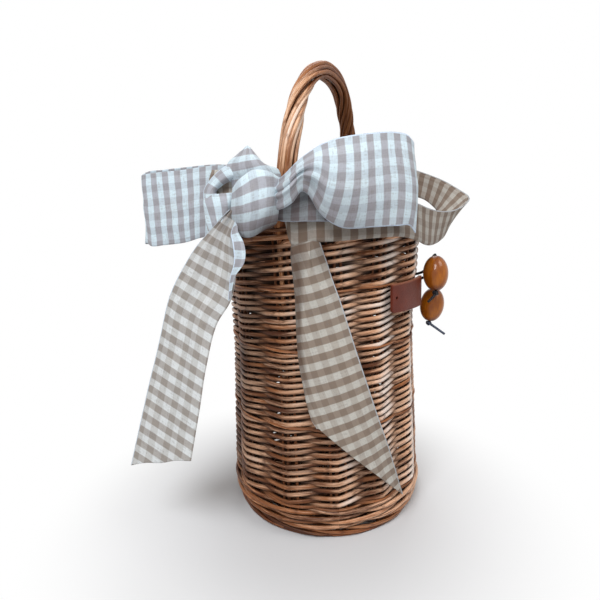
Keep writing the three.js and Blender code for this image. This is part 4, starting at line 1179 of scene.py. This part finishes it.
# The loops: front layer outwards from the knot, round the end fold, and the rear layer back
LEFT_LOOP = [
    [(-60, -88, 308.7), (-60.8, -89.4, 298), (-61.7, -90, 287.3), (-62.8, -89.4, 276.5), (-64, -88, 265.5)],
    [(-71.1, -81, 306.2), (-71.6, -83.1, 294.5), (-72.2, -84, 282.9), (-73.1, -83.1, 271.1),
     (-74.2, -81, 259)],
    [(-81.7, -74, 306.6), (-82.3, -76.8, 294), (-83.2, -78, 281.4), (-84.4, -76.8, 268.7),
     (-86, -74, 255.7)],
    [(-92.7, -67.5, 306.3), (-93.1, -70.3, 293.3), (-93.7, -71.5, 280.3), (-94.9, -70.3, 267.2),
     (-96.5, -67.5, 253.7)],
    [(-110.9, -58, 305.4), (-110.4, -60.1, 291.8), (-110.2, -61, 278.1), (-110.5, -60.1, 264.2),
     (-111, -58, 249.9)],
    [(-129.8, -49, 305.1), (-129.2, -50.4, 291.1), (-129, -51, 276.9), (-129, -50.4, 262.6),
     (-129.3, -49, 247.9)],
    [(-142.7, -42, 304.5), (-142.6, -42.7, 290.5), (-142.5, -43, 276.3), (-142.7, -42.7, 261.9),
     (-142.9, -42, 247.2)],
    [(-146.5, -38, 304.1), (-146.6, -38, 290.7), (-146.7, -38, 277.1), (-146.8, -38, 263.3),
     (-146.9, -38, 249.3)],
    [(-144.3, -34, 306.4), (-145.7, -34, 292.2), (-147.1, -34, 277.8), (-148.5, -34, 263.3),
     (-150, -34, 248.5)],
    [(-127.8, -41, 307.7), (-129.1, -40.3, 293.3), (-130.3, -40, 278.6), (-131.3, -40.3, 263.7),
     (-132.3, -41, 248.6)],
    [(-103.6, -51.5, 308.4), (-104.8, -50.8, 294.9), (-106, -50.5, 281.1), (-107, -50.8, 267.2),
     (-108, -51.5, 253)],
    [(-84.5, -62, 308.6), (-85.4, -61.3, 296.9), (-86.3, -61, 285), (-87.1, -61.3, 273),
     (-87.8, -62, 260.8)],
    [(-65.3, -76, 306.5), (-65.9, -75.3, 297.1), (-66.5, -75, 287.6), (-67.1, -75.3, 277.9),
     (-67.6, -76, 268.2)],
]
RIGHT_LOOP = [
    [(-39, -98, 292.4), (-39.8, -99, 288.3), (-40.7, -99, 284.3), (-40.9, -99, 280.2), (-41.1, -98, 276.1)],
    [(-31, -104, 294.8), (-31.8, -109, 289), (-32.6, -110, 283.7), (-32.9, -109, 278.5),
     (-33.2, -105, 273.8)],
    [(-24.7, -108, 299.9), (-25.1, -113, 293.7), (-25.7, -114, 287.9), (-25.6, -113, 282.7),
     (-24.8, -108, 277.5)],
    [(-17.8, -110, 305.9), (-17.3, -114, 300.4), (-17.1, -112, 296.1), (-17.6, -112, 291),
     (-17.8, -109, 285.2)],
    [(-8.3, -111, 312.1), (-8.1, -117, 303.6), (-9.6, -116, 295.6), (-11.6, -111, 289.5),
     (-13.1, -109, 283.1)],
    [(2.3, -111, 316.8), (2.8, -118.5, 302.5), (1.2, -119, 288.7), (-2.2, -116, 277.4),
     (-4.8, -111, 269.6)],
    [(15.8, -108, 319.9), (16, -116, 303.6), (15, -118, 287.7), (12.2, -117, 273.6), (7.8, -113, 260.5)],
    [(31.2, -103, 321.8), (31.4, -109.5, 305.6), (31.7, -111.5, 290), (31.8, -111, 275), (31, -107, 259.5)],
    [(47.4, -96, 323.2), (47.8, -101, 307.2), (48.9, -103, 291.9), (49.1, -102.5, 275.8),
     (48.5, -99, 259.3)],
    [(58.6, -89, 321.3), (59.8, -93.5, 305.6), (61.9, -94.5, 289.9), (62.1, -94.5, 274.1),
     (60.3, -91, 258.6)],
    [(64, -83, 316.8), (64.9, -86, 303.4), (66.6, -87, 288.7), (66.5, -87, 273.3), (65.9, -85, 253)],
    [(63.6, -77, 318.3), (65.5, -79, 304), (66.2, -80, 289.1), (66.4, -80, 274.7), (65.4, -79, 257.9)],
    [(53.3, -81, 319.5), (53.9, -82, 304.2), (54.6, -83, 289.3), (54.7, -83, 274.4), (54.3, -82, 260.6)],
    [(33.2, -90, 318.3), (33.7, -91, 304), (34.2, -92, 289.6), (34.2, -92, 275), (33.6, -91, 261.6)],
    [(11.5, -97, 313.5), (11.8, -98, 300.8), (11.6, -98.5, 288.7), (11.4, -98.5, 276.4),
     (10.6, -98, 263.3)],
    [(-9.5, -99.5, 304), (-9.8, -100, 294.6), (-10.1, -100.5, 285.9), (-10.4, -100.5, 275.1),
     (-10.7, -100, 264.4)],
    [(-27.9, -98, 292), (-28.1, -98, 285.9), (-29.1, -98.5, 279.1), (-30, -98.5, 272.3),
     (-31, -98.5, 265.1)],
    [(-39.4, -93, 288.5), (-39.6, -93, 283.7), (-39.9, -93, 278.2), (-40.1, -93, 272.6), (-40.4, -93, 267)],
]
# The left tail, its rows along the stripes that run across it, and the strip turned over at its top
LEFT_TAIL = [
    [(-67.9, -99, 274.9), (-66.2, -98.8, 274), (-64.5, -98.5, 273.1), (-62.7, -98.2, 272.2),
     (-61, -98, 271.2)],
    [(-84.2, -94, 259.3), (-79.5, -97.5, 256.7), (-75.3, -98.8, 254), (-70.8, -102, 251.4),
     (-66.6, -103, 248.7)],
    [(-94.5, -91, 249.1), (-86.6, -96.7, 245.4), (-79.6, -98, 241.5), (-72.1, -103.2, 237.9),
     (-65.3, -104, 234)],
    [(-107.3, -87, 232), (-97, -94.9, 227.2), (-88.3, -96.3, 221.5), (-78.6, -103.4, 216.8),
     (-70.2, -104, 211.1)],
    [(-118.5, -83, 214.1), (-108, -91.7, 209.6), (-99.3, -93.8, 204.1), (-89.5, -101.7, 199.9),
     (-81.2, -103, 194.3)],
    [(-129.9, -80, 180.1), (-119, -89.3, 176.3), (-110.1, -92.1, 170.9), (-100, -100.6, 167.3),
     (-91.6, -102.5, 161.8)],
    [(-142.9, -76.5, 142.5), (-130.6, -86.6, 139.2), (-120.7, -90.1, 133.5), (-109.4, -99.3, 130.4),
     (-100, -102, 124.7)],
    [(-156.4, -74, 101.7), (-142.9, -84.6, 99), (-132, -88.6, 93.3), (-119.5, -98.3, 90.9),
     (-109.3, -101.5, 85.1)],
    [(-167.3, -72, 66.2), (-152.8, -82.9, 64.3), (-141.1, -87.3, 58.8), (-127.7, -97.4, 57.1),
     (-116.8, -101, 51.5)],
]
TURNED_EDGE = [
    [(-61.5, -100.5, 268), (-64.5, -101.5, 266)],
    [(-62.5, -103, 260), (-67.4, -104.5, 258.2)],
    [(-58.6, -105.5, 251.4), (-66.3, -107, 251.8)],
    [(-58.8, -106.5, 238.3), (-66, -108, 238.7)],
    [(-65.6, -107, 228.7), (-69.2, -107.8, 228.2)],
    [(-70.2, -106, 212.2), (-71.9, -106.4, 211)],
]
# The right tail against the wall: azimuths and heights of its left edge, its crease and its right
# edge, how far the crease stands out, and how much of the width shows
RIGHT_TAIL = [
    (-15.6, 252, -8.8, 252, -3.6, 252, 5, 22), (-16.1, 244.2, -8.8, 244.6, -2.1, 243.8, 5.5, 25),
    (-16.1, 235.4, -9.2, 236, -0.3, 235, 5.6, 29), (-15.6, 225.1, -9.5, 225.8, 1.5, 224.7, 5.5, 33),
    (-15, 207.1, -10.2, 207.9, 5.2, 206.6, 4, 40), (-14.9, 182.5, -11.6, 186, 9.7, 181.7, 2, 49),
    (-14.4, 160.5, -10.7, 164, 13.8, 159, 1, 54), (-12.8, 141.3, -8.8, 143.6, 18, 137.1, 0.4, 57),
    (-11.1, 124.3, -7.2, 125.8, 23.3, 110.5, 0.2, 61), (-9.3, 112.8, -6.1, 112.8, 29.9, 79.9, 0.2, 65),
    (-6.8, 104.7, -4.3, 102.6, 40.3, 30.4, 0.2, 66),
]


def rising_lengths(grid, rise):
    """How far down the ribbon each point lies, when its cross stripes rise to the right."""
    grid = np.asarray(grid, float)
    return row_places(grid)[:, None] + rise * (grid[..., 0] - grid[:, :1, 0])


def shade_rows(grid, rows, values):
    """A shade for each row of a grid, from its values at some of the rows."""
    return np.interp(np.arange(len(grid)), rows, values)


def tie_bow():
    """The knot's peak and band, the folds that show at its left, and the two loops."""
    lay_cloth("knot_peak", "bow_knot", KNOT_PEAK, [8, 17, 27, 37, 48], (90, 40),
              lengths=rising_lengths(KNOT_PEAK, 0.1), ripple=0.6, seed=5, shade=0.07)
    low = np.array([0.1, 0, 0, 0.06, 0.2, 0.4, 0.6, 0.72])
    low_right = np.outer([0, 0, 0, 0.04, 0.15, 0.55, 0.9, 0.9], [0, 0, 0, 0.35, 0.6])
    lay_cloth("knot_band", "bow_knot", KNOT_BAND, [8, 18, 28, 38, 48], (90, 40),
              lengths=rising_lengths(KNOT_BAND, 0.16), ripple=0.6, seed=5,
              shade=low[:, None] + low_right + [0.14, 0, 0, 0, 0.05])
    lay_cloth("knot_fold", "bow_knot", KNOT_FOLD, [0, 7, 14, 19, 23], (60, 30), start=4,
              ripple=0.3, seed=6, width=23.0)
    down = np.array([0, 11, 19, 27])[:, None]
    lay_cloth("knot_inside", "bow_knot", KNOT_INSIDE, 20 + down, (30, 30),
              lengths=3 + np.array([0, 6, 12, 19, 26]) - 0.1 * down, ripple=0.5, seed=15,
              finish=shaded_checked_cotton, width=27.0)
    down = np.array([0, 4, 8, 14, 21, 30])[:, None]
    lay_cloth("knot_side", "bow_knot", KNOT_SIDE, 0.3 + down, (50, 34),
              lengths=1 + np.array([0, 6.5, 13, 19.5, 26]) - 0.3 * down, ripple=0.4, seed=7, width=30.0)
    lay_cloth("left_loop", "bow_left_loop", LEFT_LOOP, [2, 17.5, 33, 48.5, 64], (150, 48),
              start=3, ripple=0.8, seed=8, shade=shade_rows(LEFT_LOOP, [0, 2, 4], [0.3, 0.1, 0]),
              gather=1.2)
    shade = shade_rows(RIGHT_LOOP, [0, 2, 4, 11, 13, 15], [0.34, 0.16, 0, 0, 0.32, 0.62])
    hollow = np.outer(shade_rows(RIGHT_LOOP, [2, 4, 6, 8], [0, 0.5, 0.42, 0]), [0, 0, 0.12, 0.75, 1])
    lay_cloth("right_loop", "bow_right_loop", RIGHT_LOOP, [0, 16.5, 33, 49.5, 66], (190, 56),
              start=2, ripple=0.8, seed=9, shade=shade[:, None] + hollow, gather=1.4)


# Rows and columns of points on the left tail, and the share of its length that the cut takes off its right
TAIL_ROWS = 40
TAIL_COLUMNS = 13
CUT_SLANT = 0.155


def hang_left_tail():
    """The left tail, cut off at a slant: the cut is short of the last row by more towards the right."""
    grid = np.array(LEFT_TAIL)
    down = np.repeat(row_places(grid)[:, None, None], grid.shape[1], 1)
    dense = smooth_rows(np.concatenate([grid, down], -1), 160)
    dense = smooth_rows(dense.transpose(1, 0, 2), TAIL_COLUMNS - 1).transpose(1, 0, 2)
    total = len(dense) - 1
    rows = []
    for share in np.linspace(0, 1, TAIL_ROWS):
        row = []
        for j in range(TAIL_COLUMNS):
            place = share * total * (1 - CUT_SLANT * j / (TAIL_COLUMNS - 1))
            i = min(int(place), total - 1)
            row.append(dense[i, j] + (dense[i + 1, j] - dense[i, j]) * (place - i))
        rows.append(row)
    rows = np.array(rows)
    lay_cloth("left_tail", "ribbon_tail_left", rows[..., :3],
              np.linspace(0.2, 49, TAIL_COLUMNS), (170, 40), lengths=rows[..., 3], ripple=0.6, seed=12,
              finish=neutral_lit_checked_cotton, shade=shade_rows(rows, [0, 5, 12], [0.36, 0.16, 0]), gather=1.2)
    lay_cloth("left_tail_turned_edge", "ribbon_tail_left", TURNED_EDGE, [57, 66],
              (50, 10), start=8, width=10.5)


# The right tail: its gap to the wrap, how far it is pulled in under it, how much of it is folded in, the
# rise of its cross stripes to the right, and the height that its length is counted from
TAIL_GAP = 0.7
TAIL_PULL = 2.4
TAIL_FOLD = 12
TAIL_STRIPE_RISE = 0.27
TAIL_START = 282


def lay_right_tail():
    """The right tail against the wall, folded in at its left near the top and cut off at a slant."""
    rows, width, lengths, shade = [], [], [], []
    for left, left_z, crease, crease_z, right, right_z, proud, shown in RIGHT_TAIL:
        tucked = climb(left_z, 245, 250)
        base = WRAP_RADIUS + TAIL_GAP - TAIL_PULL * tucked
        fall = (1.6 if right_z > 200 else 0.6) * (1 - tucked)
        proud = proud * (1 - tucked)
        azimuths = [left, (left + crease) / 2, crease, crease + (right - crease) * 0.3,
                    crease + (right - crease) * 0.65, right]
        heights = [left_z, left_z, crease_z, crease_z + (right_z - crease_z) * 0.3,
                   crease_z + (right_z - crease_z) * 0.65, right_z]
        outs = [-0.3, proud * 0.35, proud, proud * 0.75 + fall, proud * 0.3 + fall, -0.2]
        rows.append([around(a, base + out, z) for a, out, z in zip(azimuths, outs, heights)])
        lengths.append([TAIL_START - z + TAIL_STRIPE_RISE * math.radians(a - left) * base
                        for a, z in zip(azimuths, heights)])
        edge = RIBBON_WIDTH + TAIL_FOLD - shown
        front = shown - TAIL_FOLD
        width.append([edge - TAIL_FOLD, edge - TAIL_FOLD / 2, edge,
                      edge + front * 0.33, edge + front * 0.67, RIBBON_WIDTH])
        # Painted shade on the folded-in strip at the left and under the wrap at the top.
        folded = 0.12 + 0.52 * float(climb(left_z, 120, 170))
        under = 0.3 * float(climb(left_z, 226, 238))
        shade.append([folded, folded, under, under, under, under])
    lay_cloth("right_tail", "ribbon_tail_right", rows, width, (180, 44),
              lengths=lengths, ripple=0.6, seed=14, finish=shaded_checked_cotton, shade=shade)


wrap_rim()
tie_bow()
hang_left_tail()
lay_right_tail()


# Floor, background and light
def lay_floor():
    """A pale floor that keeps the basket's shadow and fades into the white background."""
    bpy.ops.object.select_all(action="DESELECT")
    bpy.ops.mesh.primitive_plane_add(size=12.0, location=(0, 0, 0))
    floor = bpy.context.object
    floor.name = "floor"
    f = Finish("floor", Base_Color=paint(0.84, 0.845, 0.855), Roughness=0.9, Specular_IOR_Level=0.1)
    middle = (-0.02, -0.03, 0.0)
    shifted = f.node("ShaderNodeVectorMath", {"operation": "SUBTRACT"}, {0: f.object_place(), 1: middle})
    far = f.node("ShaderNodeVectorMath", {"operation": "LENGTH"}, {0: shifted}, 1)
    white = f.node("ShaderNodeEmission", None, {0: (1, 1, 1, 1), 1: 1.0})
    mixed = f.node("ShaderNodeMixShader", None, {0: f.seen_bare() * f.band(far, 0.08, 0.25),
                                                 1: Value(f, f.shader.outputs[0]), 2: white})
    f.tree.links.new(mixed.socket, f.tree.nodes["Material Output"].inputs["Surface"])
    floor.data.materials.append(f.material)


# Lamps: place and size in metres, power and colour
LAMPS = [
    ("window", (-0.4, -1.05, 1.35), 0.75, 18.5, (0.96, 0.98, 1.0)),
    ("side", (0.95, -0.6, 1.5), 0.8, 8.0, (1.0, 0.985, 0.97)),
    ("back", (0.1, 1.1, 1.5), 1.2, 8.0, (1.0, 1.0, 1.0)),
]
LAMP_AIM = Vector((0, 0, 0.2))


def light_room():
    """Soft light from three lamps and a dim warm room, seen as plain white."""
    world = bpy.data.worlds.new("room")
    bpy.context.scene.world = world
    world.use_nodes = True
    world.node_tree.nodes.clear()
    w = Nodes(world.node_tree)
    room = w.node("ShaderNodeBackground", None, {0: (1.0, 0.94, 0.88, 1.0), 1: 0.36})
    white = w.node("ShaderNodeBackground", None, {0: (1, 1, 1, 1), 1: 1.0})
    mixed = w.node("ShaderNodeMixShader", None, {0: w.seen_bare(), 1: room, 2: white})
    w.tree.links.new(mixed.socket, w.tree.nodes.new("ShaderNodeOutputWorld").inputs[0])
    for name, place, size, power, colour in LAMPS:
        lamp = bpy.data.lights.new(name, "AREA")
        lamp.shape = "DISK"
        lamp.size = size
        lamp.energy = power
        lamp.color = colour
        thing = bpy.data.objects.new(name, lamp)
        thing.location = place
        thing.rotation_euler = (LAMP_AIM - Vector(place)).to_track_quat("-Z", "Y").to_euler()
        bpy.context.scene.collection.objects.link(thing)


lay_floor()
light_room()
bpy.context.scene.view_settings.view_transform = "Standard"
